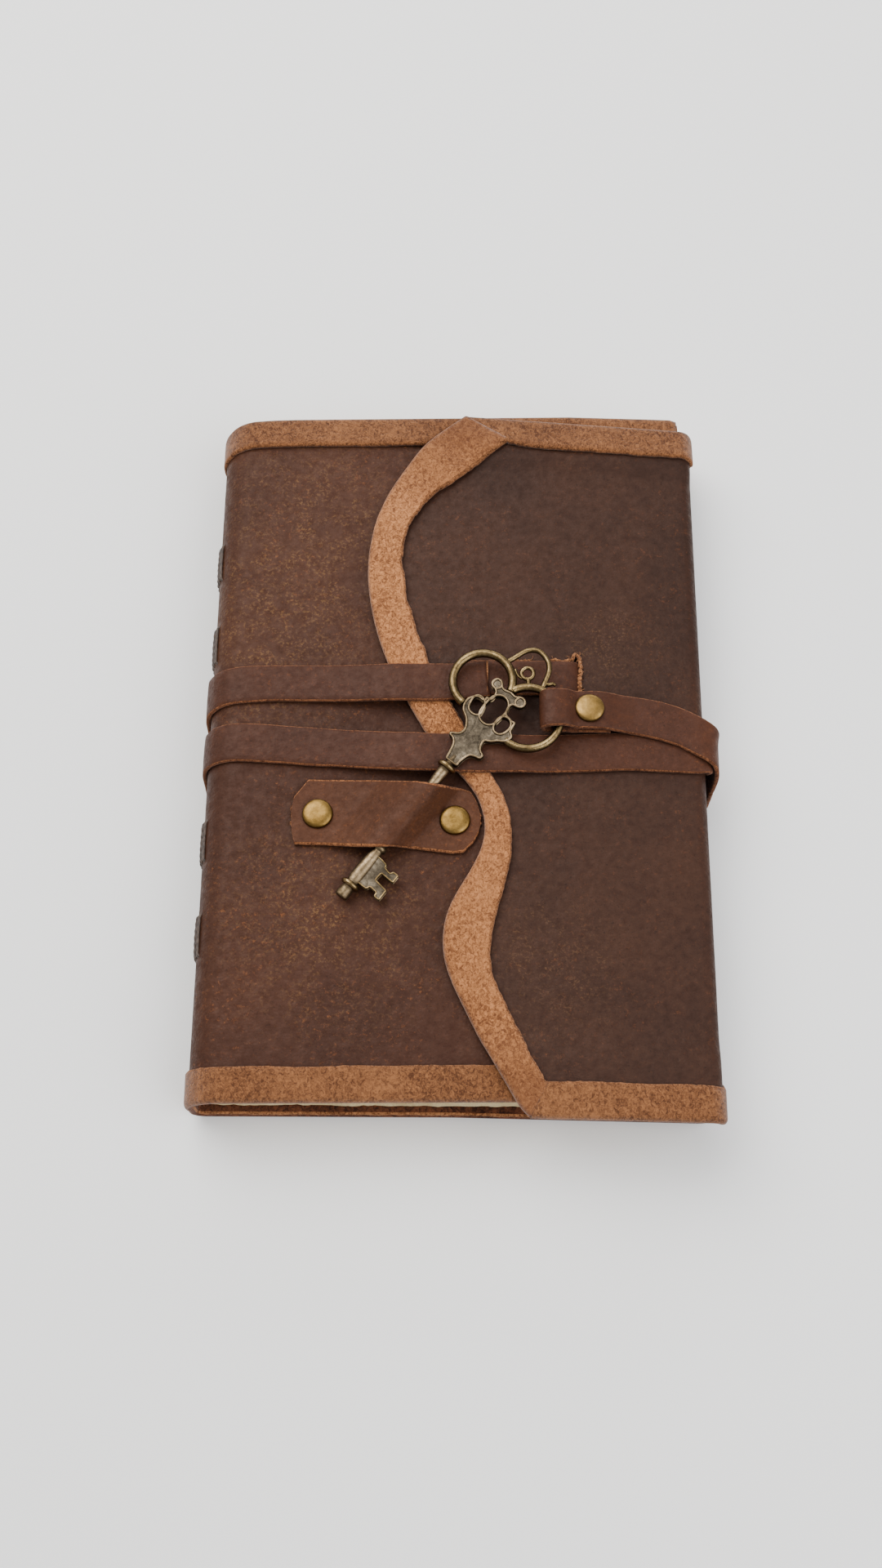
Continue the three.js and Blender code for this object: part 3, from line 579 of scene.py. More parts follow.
def wrap_sheet(name, section, outward, tail, head, mats, seed, end_x=None, level=None):
    """section: X-Z middle line; tail/head: functions of (x, z) for the ends of the leather."""
    nv = 190
    nu = len(section)
    v = np.linspace(0, 1, nv)
    P = np.zeros((nu, nv, 3))
    for j in range(nv):
        sec = section if level is None else level(v[j])
        x, z = sec[:, 0], sec[:, 1]
        y = tail(x, z) + T * 0.7 + (head(x, z) - tail(x, z) - 1.4 * T) * v[j]
        P[:, j] = np.stack([x, y, z], 1)
    return P


def lay_hems(name, section, outward, tail, head, mats, seed, body=None):
    pieces = []
    n = path_normals(section, outward)
    for end, sign, fn in (("tail", 1.0, tail), ("head", -1.0, head)):
        x, z = section[:, 0], section[:, 1]
        y = fn(x, z)
        O = np.stack([x - n[:, 0] * T / 2, y, z - n[:, 1] * T / 2], 1)
        N = np.stack([n[:, 0], np.zeros(len(x)), n[:, 1]], 1)
        A = np.tile([0.0, sign, 0.0], (len(x), 1))
        pieces.append(sweep(f"{name}_{end}_hem", O, A, N, HEM, mats, HEM_MAT, hem_wobble(O, seed, N)))
        seed += 3
    return pieces


R = 2.4
front_mid, back_mid = FRONT_Z + T / 2, T + T / 2
spine_mid, wall_mid = -62.0 + T / 2, 61.9 - T / 2
spine_split, wall_split = 10.5, 10.5
sec_a = fill_steps(corner([(59.3 - T / 2, front_mid), (spine_mid, front_mid), (spine_mid, spine_split)], 7.5, 18), 1.6)


def spine_arc(z, radius):
    """X of the rounded spine corner at height z."""
    return -53.8 - np.sqrt(np.maximum(radius ** 2 - np.maximum(np.asarray(z, float) - 11.6, 0) ** 2, 0.0))


sec_b = fill_steps(corner([(spine_mid, spine_split), (spine_mid, back_mid), (wall_mid, back_mid), (wall_mid, wall_split)], R), 1.6)


def cover_tail(x, z):
    return np.interp(x, [-61.1, 57.4, 59.4], [-92.6, -91.1, -90.3])


def cover_head(x, z):
    y = np.interp(x, [-61.4, -60.0, -57.5, -54.0, -49.0, -43.0, 30, 51, 57.2, 59.4], [88.1, 88.5, 89.2, 89.8, 90.25, 90.5, 91.9, 91.4, 91.2, 90.2])
    return y


def back_tail(x, z):
    return np.interp(x, [-62, 0, 62], [-92.3, -92.1, -93.1]) + np.where(x > 60, -0.16 * np.maximum(z - 4, 0), 0)


def back_head(x, z):
    dip = np.clip((np.asarray(z, float) - 1.0) / 9.5, 0, 1)
    return np.interp(x, [-62, 62], [90.5, 90.3]) - np.where(x > 60, 0.27 * np.maximum(z - 4, 0), 0) - np.where(x < -59, 2.4 * dip * dip * (3 - 2 * dip), 0)


def tail_a(x, z):
    return cover_tail(x, z)


def head_a(x, z):
    return cover_head(x, z)


def wall_tail(x, z):
    return np.where(z < 20.5, -93.1 - 0.16 * np.maximum(z - 4, 0), flap_tail(x))


def wall_head(x, z):
    return np.where(z < 20.5, 90.3 - 0.27 * np.maximum(z - 4, 0), flap_head(x))


leather_mats = [front_leather, hem_edge, shaded_flesh]
hem_mats = [suede_tan, hem_edge, shaded_flesh]

# front cover and the upper half of the spine
PA = wrap_sheet("a", sec_a, (0, 1), tail_a, head_a, leather_mats, 1)
flat = np.clip((sec_a[:, 0] + 53) / 6, 0, 1) * np.clip((59 - sec_a[:, 0]) / 6, 0, 1)
PA[:, :, 2] += ripple(PA[:, :, 0], PA[:, :, 1], 60, 3, 3) * 0.16 * flat[:, None]
cover = sheet("front_cover_skin", PA, T, leather_mats, flip=(normals_of(PA)[5, 5, 2] < 0), rough=0.05)
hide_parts("front_cover_leather", "spine_leather")
pieces_a = [cover] + lay_hems("front_cover", sec_a, (0, 1), tail_a, head_a, hem_mats, 2)
for p in pieces_a:
    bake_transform(p)

# back cover, the lower half of the spine, and the lower half of the fore-edge wall
PB = wrap_sheet("b", sec_b, (0, -1), back_tail, back_head, leather_mats, 1)
mid_b = PB[len(sec_b) // 2, 5]
back = sheet("back_cover_skin", PB, T, [back_leather, cut_edge, shaded_flesh], flip=(normals_of(PB)[len(sec_b) // 2, 5, 2] > 0), rough=0.05)
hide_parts("back_cover_leather")
pieces_b = [back] + lay_hems("back_cover", sec_b, (0, -1), back_tail, back_head, hem_mats, 2)
for p in pieces_b:
    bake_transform(p)


# the flap, with the upper half of the fore-edge wall
def flap_section(y):
    zf = float(flap_level(y)) + T / 2
    xe = float(wave_x(y)) + T * 0.7
    line = corner([(wall_mid, wall_split), (wall_mid, zf), (xe, zf)], R)
    head_part, run = line[:-1], 60
    step = np.linspace(0, 1, run + 1)[1:, None]
    wall_part = fill_steps(line[:2], 1.6)
    return np.concatenate([wall_part, line[2:-1], line[-2] + (line[-1] - line[-2]) * step])


def flap_rows(v):
    y = -95.2 + (89.4 + 95.2) * v
    s = flap_section(y)
    sag = np.clip((wave_x(y) + 22 - s[:, 0]) / 20, 0, 1) * np.clip((s[:, 1] - 20) / 0.5, 0, 1)
    s[:, 1] -= 0.12 * sag
    return s


mid_len = len(flap_rows(0.5))
PC = np.zeros((mid_len, 210, 3))
for j, v in enumerate(np.linspace(0, 1, 210)):
    s = flap_rows(v)
    s = s if len(s) == mid_len else np.stack([np.interp(np.linspace(0, 1, mid_len), np.linspace(0, 1, len(s)), s[:, c]) for c in (0, 1)], 1)
    x, z = s[:, 0], s[:, 1]
    top = np.clip((z - 18.0) / 2.0, 0, 1)
    tl = (-93.1 - 0.16 * np.maximum(z - 4, 0)) * (1 - top) + flap_tail(x) * top
    hd = (90.3 - 0.27 * np.maximum(z - 4, 0)) * (1 - top) + flap_head(x) * top
    PC[:, j] = np.stack([x, tl + T * 0.7 + (hd - tl - 1.4 * T) * v, z], 1)
on_top = np.clip((PC[:, :, 2] - 20) / 0.6, 0, 1)
PC[:, :, 2] += (ripple(PC[:, :, 0], PC[:, :, 1], 55, 5, 3) * 0.14 + 0.05) * on_top

skin_mats = [flap_leather, cut_edge, shaded_flesh]
fN = normals_of(PC)
flap = sheet("flap_skin", PC, T, skin_mats, flip=(fN[mid_len - 10, 60, 2] < 0), rough=0.05)

# rough slit that the anchor goes down into
slit_cut = bpy.data.objects.new("slit_cut", bpy.data.meshes.new("slit_cut"))


def slit_polygon():
    right, leftside = [], []
    for y in np.linspace(9.0, 20.6, 26):
        right.append((31.15 + 0.28 * math.sin(y * 2.3) + 0.15 * math.sin(y * 7.1) + (0.5 if y < 18 else 0), y))
        leftside.append((29.75 + 0.22 * math.sin(y * 2.9 + 1) + 0.12 * math.sin(y * 6.3), y))
    return right + leftside[::-1]


def prism_object(name, poly, z0, z1):
    n = len(poly)
    verts = [(x, y, z0) for x, y in poly] + [(x, y, z1) for x, y in poly]
    faces = [list(range(n))[::-1], list(range(n, 2 * n))] + [[i, (i + 1) % n, n + (i + 1) % n, n + i] for i in range(n)]
    return make_mesh(name, np.array(verts), faces, [], None, False)


cutter = prism_object("slit_cutter", slit_polygon(), 15, 27)
cutter.data.materials.append(cut_edge)
mod = flap.modifiers.new("slit", "BOOLEAN")
mod.operation = "DIFFERENCE"
mod.object = cutter
mod.solver = "EXACT"
mod.material_mode = "TRANSFER"
deps = bpy.context.evaluated_depsgraph_get()
cut_mesh = bpy.data.meshes.new_from_object(flap.evaluated_get(deps))
flap.modifiers.clear()
flap.data = cut_mesh
bpy.data.objects.remove(cutter)

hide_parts("flap_leather", "fore_edge_leather")
pieces_c = [flap]

# head and tail hems follow the wall, the fold and the flap's two edges
for end, sign, edge, fixed, (far_x, slant) in (("tail", 1.0, flap_tail, (-93.1, -0.16), (17.45, 0.47)), ("head", -1.0, flap_head, (90.3, -0.27), (1.9, 1.42))):
    zf = RAISED + T / 2
    line = fill_steps(corner([(wall_mid, wall_split), (wall_mid, zf), (far_x, zf)], R), 1.2)
    nrm = path_normals(line, (0, 1))
    x, z = line[:, 0], line[:, 1]
    top = np.clip((z - 18.0) / 2.0, 0, 1)
    y = (fixed[0] + fixed[1] * np.maximum(z - 4, 0)) * (1 - top) + edge(x) * top
    O = np.stack([x - nrm[:, 0] * T / 2, y, z - nrm[:, 1] * T / 2], 1)
    N = np.stack([nrm[:, 0], np.zeros(len(x)), nrm[:, 1]], 1)
    A = np.tile([0.0, sign, 0.0], (len(x), 1))
    A[:, 0] = slant * np.clip((far_x + 26 - x) / 26, 0, 1) ** 1.5        # its end is cut along the wavy hem's end
    pieces_c.append(sweep(f"flap_{end}_hem", O, A, N, HEM, hem_mats, HEM_MAT, hem_wobble(O, 2 if end == "tail" else 5, N)))

# the wavy hem
wo = resample(smooth_line(resample(WAVE, 1.5), 6), 0.9)
wi = resample(smooth_line(resample(WAVE_HEM, 1.5), 6), 0.9)
tt = np.linspace(0, 1, len(wo))
# each outer station is joined to the nearest forward point of the inner edge
near, last = [], 0
for q in wo:
    d = np.linalg.norm(wi - q, axis=1)
    k = int(np.argmin(d + 1e3 * (np.arange(len(wi)) < last)))
    last = max(last, k)
    near.append(last)
near = smooth_line(np.array(near, float)[:, None], 60)[:, 0]
near[-22:] = np.linspace(near[-22], len(wi) - 1, 22)
inner_pts = np.stack([np.interp(near, np.arange(len(wi)), wi[:, c]) for c in (0, 1)], 1)
inward = inner_pts - wo
width = np.linalg.norm(inward, axis=1)
inward = unit(inward)
zb = flap_level(wo[:, 1]) + 0.05 + ripple(wo[:, 0], wo[:, 1], 55, 5, 3) * 0.10
zi = flap_level(inner_pts[:, 1])
O = np.stack([wo[:, 0], wo[:, 1], zb], 1)
A = np.stack([inward[:, 0], inward[:, 1], (zi - flap_level(wo[:, 1])) / np.maximum(width, 1)], 1)
N = np.tile([0.0, 0.0, 1.0], (len(wo), 1))
wide = width + ripple(wo[:, 0], wo[:, 1], 9, 31, 3) * 0.25 + ripple(wo[:, 0], wo[:, 1], 1.5, 32, 2) * 0.10
ends = np.clip(np.minimum(np.arange(len(wo)), np.arange(len(wo))[::-1]) / 14.0, 0, 1)
lift = (ripple(wo[:, 0], wo[:, 1], 17, 33, 2) * 0.14 + 0.22) * ends + 0.10


def wave_wobble(i, prof):
    q = prof.copy()
    inner = np.clip((q[:, 0] - T) / (8.3 - T), 0, 1.1)
    q[:, 0] = np.where(q[:, 0] > T, T + (q[:, 0] - T) * (wide[i] - T) / (8.3 - T), q[:, 0])
    q[:, 1] += np.where(q[:, 1] > T + 0.02, lift[i] * (0.4 + 0.6 * inner), 0)
    return q


pieces_c.append(sweep("flap_wave_hem", O, A, N, HEM, [suede_wave, hem_edge, shaded_flesh], HEM_MAT, wave_wobble))
for p in pieces_c:
    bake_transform(p)

# ------------------------------------------------------------------ pages
PAGES_Z, PITCH, SIG_T = 3.1, 2.4, 2.1


def deckle_block(name, z0, z1, seed, ytail, yhead, fore, leaves=8):
    """A folded gathering: thin leaves with uneven edges round one spine fold."""
    verts, faces = [], []
    dz = (z1 - z0) / leaves
    base = 0
    for k in range(leaves):
        za, zb_ = z0 + k * dz, z0 + (k + 1) * dz - 0.035
        depth = abs(k - (leaves - 1) / 2) / (leaves / 2)
        xs = max(-59.0, float(spine_arc(zb_ + 0.1, 6.8)) + 0.3) + 0.75 * depth ** 2 * 1.2
        inset = rng.uniform(0, 0.55)
        loop = []
        n_y, n_x = 150, 90
        f = fore - inset
        yt, yh = ytail + rng.uniform(0, 0.5), yhead - rng.uniform(0, 0.5)
        for t in np.linspace(0, 1, n_x, endpoint=False):
            loop.append((xs + (f - xs) * t, yt, 0, -1))
        for t in np.linspace(0, 1, n_y, endpoint=False):
            loop.append((f, yt + (yh - yt) * t, 1, 0))
        for t in np.linspace(0, 1, n_x, endpoint=False):
            loop.append((f + (xs - f) * t, yh, 0, 1))
        for t in np.linspace(0, 1, n_y, endpoint=False):
            loop.append((xs, yh + (yt - yh) * t, -1, 0))
        L = np.array(loop)
        j = ripple(L[:, 0], L[:, 1], 3.2, seed + k, 3) * 0.22 + ripple(L[:, 0], L[:, 1], 11, seed + k + 3, 2) * 0.2
        j = np.where(L[:, 2] < -0.5, 0, j - 0.3)
        x, y = L[:, 0] + L[:, 2] * j, L[:, 1] + L[:, 3] * j
        m = len(L)
        cx, cy = x.mean(), y.mean()
        zw = ripple(L[:, 0], L[:, 1], 30, seed, 2) * 0.03
        for s, z in ((0.97, za), (1.0, za + 0.02), (1.0, zb_ - 0.02), (0.97, zb_)):
            verts.append(np.stack([cx + (x - cx) * s, cy + (y - cy) * s, np.full(m, z) + (zw if s == 1 else 0)], 1))
        for r in range(3):
            for i in range(m):
                i2 = (i + 1) % m
                faces.append([base + r * m + i, base + r * m + i2, base + (r + 1) * m + i2, base + (r + 1) * m + i])
        faces.append([base + i for i in range(m)][::-1])
        faces.append([base + 3 * m + i for i in range(m)])
        base += 4 * m
    ob = make_mesh(name, np.concatenate(verts), faces, [page_paper], None, True)
    return ob


for i in range(6):
    z0 = PAGES_Z + (5 - i) * PITCH
    ob = deckle_block(f"gathering_{i + 1}", z0, z0 + SIG_T + 0.2, 11 + i * 5, -90.4 + [0, 0.8, 0.3, 1, 0.5, 0.2][i], 88.7 - [0.4, 0, 0.9, 0.2, 0.7, 0.3][i],
                      57.3 - [0.3, 0.9, 0.1, 0.7, 0.0, 0.6][i])
    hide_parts(f"signature_{i + 1}")
    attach(ob, "front_pages" if i < 3 else "back_cover")


# ------------------------------------------------------------------ tubes from polylines
def tube(name, pts, r, mat, sides=10, closed=False, up=(0, 0, 1)):
    p = np.asarray(pts, float)
    n = len(p)
    if closed:
        t = unit(np.roll(p, -1, 0) - np.roll(p, 1, 0))
    else:
        t = unit(np.gradient(p, axis=0))
    u = np.asarray(up, float)
    s = np.cross(t, u)
    bad = np.linalg.norm(s, axis=1) < 1e-3
    s[bad] = np.cross(t[bad], [0.3, 1, 0.2])
    s = unit(s)
    w = np.cross(s, t)
    rr = np.broadcast_to(np.asarray(r, float), (n,))
    a = 2 * math.pi * np.arange(sides) / sides
    V = p[:, None] + rr[:, None, None] * (np.cos(a)[None, :, None] * s[:, None] + np.sin(a)[None, :, None] * w[:, None])
    faces = []
    m = n if closed else n - 1
    for i in range(m):
        i2 = (i + 1) % n
        for j in range(sides):
            j2 = (j + 1) % sides
            faces.append([i * sides + j, i * sides + j2, i2 * sides + j2, i2 * sides + j])
    if not closed:
        faces.append(list(range(sides))[::-1])
        faces.append(list(range((n - 1) * sides, n * sides)))
    return make_mesh(name, V.reshape(-1, 3), faces, [mat])


# threads: long stitches over the spine
STITCHES = [(55, 44), (31, 20), (-22, -33), (-46, -57)]
for k, z in enumerate([15.7, 13.6, 11.2, 8.9, 6.6, 4.4]):
    outer = float(spine_arc(z, 8.2)) - 0.34
    inner = outer + 2.6
    path = [(inner, 60, z)]
    for a, b in STITCHES:
        path += [(inner, a, z), (outer, a - 0.4, z), (outer - 0.12, (a + b) / 2, z), (outer, b + 0.4, z), (inner, b, z)]
    path.append((inner, -62, z))
    p = smooth_line(resample(path, 0.35), 3)
    p[:, 2] += ripple(p[:, 1], p[:, 1] * 0, 6, k, 2) * 0.12
    twist = 1 + 0.12 * np.sin(np.arange(len(p)) * 1.3)
    th = tube(f"stitch_thread_{k + 1}", p, 0.42 * twist, thread_look, 8)
    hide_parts(f"sewing_thread_{k + 1}")
    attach(th, "back_cover")

# ------------------------------------------------------------------ strap
ST, SW = 1.1, 9.8
on_cover, on_flap = FRONT_Z + T + 0.3 + ST / 2, FLAP_Z + T + 0.3 + ST / 2
on_hem = on_flap + T
left, right = -62.0 - 0.3 - ST / 2, 61.9 + 0.3 + ST / 2
outer_x, under = right + ST + 0.3, 0.6
MAIN = [
    (8.0, 13.0, on_hem), (0, 11.9, on_hem + .15), (-12.6, 11.9, on_hem + .1), (-16.0, 12.0, on_hem - .15), (-20.0, 12.1, on_hem - .8), (-25.0, 12.25, on_hem - 1.6), (-31, 12.4, on_cover + .75), (-38, 12.6, on_cover + .25), (-45, 12.8, on_cover), (-53.8, 12.3, on_cover),
    (-57.26, 11.9, 19.96), (-60.2, 11.4, 18.0), (-62.16, 10.9, 15.06), (left, 10.4, 11.6), (left, 8.6, 1.9), (-62.65, 8.4, 0.8), (-61.8, 8.3, under),
    (61.5, 2.6, under), (62.5, 2.4, 0.85), (right, 2.0, 1.9), (right, -6.2, 20.6), (62.65, -6.5, 22.1), (61.4, -6.8, on_flap),
    (45, -5.7, on_flap), (34, -6.2, on_flap), (26, -6.5, on_flap), (20, -6.75, on_flap + .35), (15.0, -6.95, on_hem - .2), (11.0, -7.05, on_hem), (-8.5, -6.8, on_hem), (-11.0, -6.6, on_hem - .2), (-15.0, -6.2, on_hem - .9),
    (-20, -5.75, on_hem - 1.7), (-26, -5.2, on_cover + .75), (-33, -4.65, on_cover + .25), (-40, -4.1, on_cover), (-47, -3.6, on_cover), (-53.8, -3.2, on_cover),
    (-57.26, -3.4, 19.96), (-60.2, -3.7, 18.0), (-62.16, -4.0, 15.06), (left, -4.4, 11.6), (left, -6.0, 1.9), (-62.65, -6.2, 0.8), (-61.8, -6.3, under),
    (61.5, -9.0, under), (63.1, -9.0, 0.8), (63.95, -8.9, 1.6), (outer_x, -8.6, 2.8), (outer_x, -8.35, 7.0), (outer_x, -8.0, 11.5)]
END = [
    (outer_x, -8.0, 11.5), (64.5, -7.5, 14.5), (64.75, -6.95, 17.5), (64.65, -6.2, 20.0), (64.2, -5.45, 21.8), (63.2, -4.5, 23.0), (61.6, -3.2, 23.7), (59.5, -1.9, on_hem + .12),
    (56, 0.2, on_hem + .05), (50, 2.2, on_hem), (44, 3.3, on_hem), (40.2, 3.7, 24.4), (36.6, 3.8, 25.9), (33, 3.8, 26.15), (29.6, 3.7, 26.3),
    (28.3, 3.5, 27.6), (26.8, 3.3, 28.8), (25, 3.1, 29.15), (23.1, 3.0, 29.15), (21.6, 2.95, 28.55), (21.0, 2.95, 27.075), (21.6, 2.95, 25.6),
    (23.1, 3.0, 25.0), (26.5, 3.3, 24.8), (29.0, 3.7, 23.6), (33, 3.8, 23.4), (38.3, 3.8, 23.4)]


def ribbon(name, pts, width_, seed, outward):
    p = resample(pts, 0.6)
    p = np.stack([smooth_line(p[:, :1], 14)[:, 0], smooth_line(p[:, 1:2], 60)[:, 0], smooth_line(p[:, 2:], 4)[:, 0]], 1)
    p[:, 0] = smooth_line(resample(pts, 0.6)[:, :1], 4)[:, 0]
    t = unit(np.gradient(p, axis=0))
    w = unit(np.array([0, 1.0, 0]) - (t @ np.array([0, 1.0, 0]))[:, None] * t)
    n = np.cross(t, w)
    n = n * np.sign(n[2] @ np.asarray(outward, float))
    s = np.r_[0, np.cumsum(np.linalg.norm(np.diff(p, axis=0), axis=1))]
    hw = width_ / 2 + ripple(s, s * 0, 24, seed, 2) * 0.16 + ripple(s, s * 0, 2.0, seed + 1, 2) * 0.05
    prof, mats = [], []
    k = 8
    for j in range(k + 1):                              # outer face, slightly crowned
        u = -0.94 + 1.88 * j / k
        prof.append((u, 0.5 + 0.10 * (1 - u * u)))
        mats.append(0)
    prof += [(0.985, 0.36), (1.0, 0.0), (0.985, -0.36)]
    mats[-1] = 1
    mats += [1, 1, 1]
    for j in range(5):
        u = 0.94 - 1.88 * j / 4
        prof.append((u, -0.5))
        mats.append(2)
    prof += [(-0.985, -0.36), (-1.0, 0.0), (-0.985, 0.36)]
    mats[-1] = 1
    mats += [1, 1, 1]
    prof = np.array(prof)
    edge_lift = ripple(s, s * 0, 30, seed + 5, 2) * 0.10

    def wob(i, q):
        r = q.copy()
        r[:, 0] = q[:, 0] * hw[i]
        r[:, 1] = q[:, 1] * ST + edge_lift[i] * q[:, 0] * abs(q[:, 0]).clip(0, 1)
        return r
    return sweep(name, p, w, n, prof, [strap_leather, strap_edge, shaded_flesh], mats, wob, 1)


strap_main = ribbon("strap_windings", MAIN, SW, 41, (0, 0, 1))
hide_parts("strap")
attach(strap_main, "strap")
cut_line = tube("strap_cut_line", [(7.95, 12.95 + v, on_hem + 0.36 + 0.05 * math.sin(v * 1.7)) for v in np.linspace(-SW / 2 + 0.1, SW / 2 - 0.1, 40)], 0.26, cut_edge, 8)
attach(cut_line, "strap")
strap_end = ribbon("strap_loop_end", END, SW, 47, (1, 0, 0))
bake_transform(strap_end)

# anchor, down through the slit
AN = [(1, 13.9, on_flap + .1), (20, 13.9, on_flap), (28.4, 13.9, on_flap), (30.0, 13.9, on_flap - 0.25), (30.7, 13.9, on_flap - 1.2), (30.75, 13.9, 20.4)]
anchor = ribbon("strap_anchor_strip", AN, 9.3, 53, (0, 0, 1))
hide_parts("strap_anchor")
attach(anchor, "flap")

# torn edges and fibres of the slit
torn = []
edges = [([(31.25, 9.2), (31.2, 13.0), (31.55, 17.0), (31.2, 20.2), (30.5, 20.9)], 0.54), ([(29.9, 19.3), (29.7, 20.5), (30.4, 21.0)], 0.44),
         ([(29.8, 19.5), (27.2, 19.0), (25.0, 19.35), (22.0, 18.8)], 0.34), ([(19.0, 19.2), (16.5, 18.9), (13.5, 19.3)], 0.16)]
for line, rad in edges:
    p = resample(line, 0.16)
    k = np.arange(len(p))
    jit = rng.normal(size=(len(p), 2)) * 0.18
    jit = smooth_line(jit, 1)
    z = FLAP_Z + T + 0.12 + 0.10 * np.sin(k * 0.9) + rng.uniform(0, 0.14, len(p))
    r_ = rad * (0.72 + 0.5 * rng.uniform(0, 1, len(p))) * np.clip(np.minimum(k, k[::-1]) / 3.0, 0.25, 1)
    torn.append(tube(f"torn_edge_{len(torn)}", np.stack([p[:, 0] + jit[:, 0], p[:, 1] + jit[:, 1], z], 1), r_, cut_edge, 7))
    for q in p[::3]:
        a = rng.uniform(0, 6.28)
        ln = rng.uniform(0.5, 1.5)
        s0 = np.array([q[0], q[1], FLAP_Z + T + 0.2])
        s1 = s0 + np.array([math.cos(a) * ln * 0.5, math.sin(a) * ln * 0.5, rng.uniform(0.15, 0.5)])
        s2 = s1 + np.array([math.cos(a + 0.7) * ln * 0.5, math.sin(a + 0.7) * ln * 0.5, rng.uniform(-0.25, 0.1)])
        torn.append(tube(f"torn_fibre_{len(torn)}", smooth_line(resample([s0, s1, s2], 0.12), 2), 0.05, cut_edge, 5))
bpy.ops.object.select_all(action="DESELECT")
for ob in torn:
    ob.select_set(True)
bpy.context.view_layer.objects.active = torn[0]
bpy.ops.object.join()
torn_edges = bpy.context.view_layer.objects.active
torn_edges.name = "torn_slit_edges"
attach(torn_edges, "flap")

# ------------------------------------------------------------------ keeper tab
KEY_TIP = np.array([-27.1, -43.6, 22.18])
KA, KR = math.radians(52.2), 0.072
# the tab's outline as seen from the camera, on the level of its flat ends
TAB_LOW = np.array([[-39.7, -24.5], [-39.5, -26.5], [-38.8, -30.0], [-24.0, -30.3], [-15.0, -30.1], [-7.4, -31.2], [-0.6, -32.0], [2.2, -31.7], [4.6, -29.2], [5.9, -26.6], [6.3, -24.4]])
TAB_HIGH = np.array([[-39.7, -20.8], [-39.2, -17.7], [-35.9, -13.2], [-20.3, -13.25], [-8.9, -13.4], [-3.6, -14.1], [1.6, -15.2], [3.9, -16.0], [5.5, -18.8], [6.3, -22.0]])


def tab_under(x, y):
    dx, dy = x - KEY_TIP[0], y - KEY_TIP[1]
    u = dx * math.cos(KA) + dy * math.sin(KA)
    v = -dx * math.sin(KA) + dy * math.cos(KA)
    base = FRONT_Z + T + 0.3
    top = KEY_TIP[2] + KR * u + 1.2 + 0.3

    def s(t, r=0.24):
        t = np.clip(t, 0, 1)
        return np.where(t < r, t * t / (2 * r * (1 - r)), np.where(t > 1 - r, 1 - (1 - t) ** 2 / (2 * r * (1 - r)), (t - r / 2) / (1 - r)))
    w = np.where(v < 0, 1 - s((-v - 0.5) / 5.1), 1 - s((v - 0.5) / 13.0))
    return base + (top - base) * w


nx, ny = 110, 44
tx = -39.7 + (6.3 + 39.7) * (0.5 - 0.5 * np.cos(np.pi * np.linspace(0.02, 0.98, nx)))
PT = np.zeros((nx, ny, 3))
for i, x in enumerate(tx):
    lo = lo_seen = np.interp(x, TAB_LOW[:, 0], TAB_LOW[:, 1]) + 0.5
    hi = hi_seen = np.interp(x, TAB_HIGH[:, 0], TAB_HIGH[:, 1]) - 0.5
    for _ in range(8):                                   # where the leather rises it is seen higher up
        lo = 0.5 * lo + 0.5 * (lo_seen - 0.383 * (tab_under(x, lo) - FRONT_Z - T - 0.3))
        hi = 0.5 * hi + 0.5 * (hi_seen - 0.383 * (tab_under(x, hi) - FRONT_Z - T - 0.3))
    y = np.linspace(lo, hi, ny)
    PT[i] = np.stack([np.full(ny, x), y, tab_under(x, y) + 0.55], 1)
PT[:, :, 2] += ripple(PT[:, :, 0], PT[:, :, 1], 14, 8, 2) * 0.06
tab = sheet("keeper_tab_skin", PT, 1.1, [tab_leather, tab_edge_with_shade, shaded_flesh], flip=(normals_of(PT)[5, 5, 2] < 0), rough=0.06, seed=4)
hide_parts("keeper_tab")
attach(tab, "front_cover")

# ------------------------------------------------------------------ rivets
def lathe(name, profile, centre, mat, sides=48):
    p = np.array(profile, float)
    a = 2 * math.pi * np.arange(sides) / sides
    verts = [np.array([[0, 0, p[0, 1]]])]
    for r, z in p:
        verts.append(np.stack([r * np.cos(a), r * np.sin(a), np.full(sides, z)], 1))
    verts.append(np.array([[0, 0, p[-1, 1]]]))
    n = len(p)
    faces = [[0, 1 + (j + 1) % sides, 1 + j] for j in range(sides)]
    for i in range(n - 1):
        for j in range(sides):
            j2 = (j + 1) % sides
            faces.append([1 + i * sides + j, 1 + i * sides + j2, 1 + (i + 1) * sides + j2, 1 + (i + 1) * sides + j])
    e = 1 + n * sides
    faces += [[e, 1 + (n - 1) * sides + j, 1 + (n - 1) * sides + (j + 1) % sides] for j in range(sides)]
    v = np.concatenate(verts) + np.array([centre[0], centre[1], 0])
    return make_mesh(name, v, faces, [mat])


def dome(z, r=3.68, h=1.35):
    prof = [(r - 0.5, z - 0.02), (r - 0.12, z), (r, z + 0.18), (r - 0.03, z + 0.34)]
    for k in range(1, 11):
        a = math.pi / 2 * k / 10
        prof.append(((r - 0.06) * math.cos(a) ** 0.55 if k < 10 else 0.05, z + 0.34 + (h - 0.34) * math.sin(a) ** 0.85))
    return prof


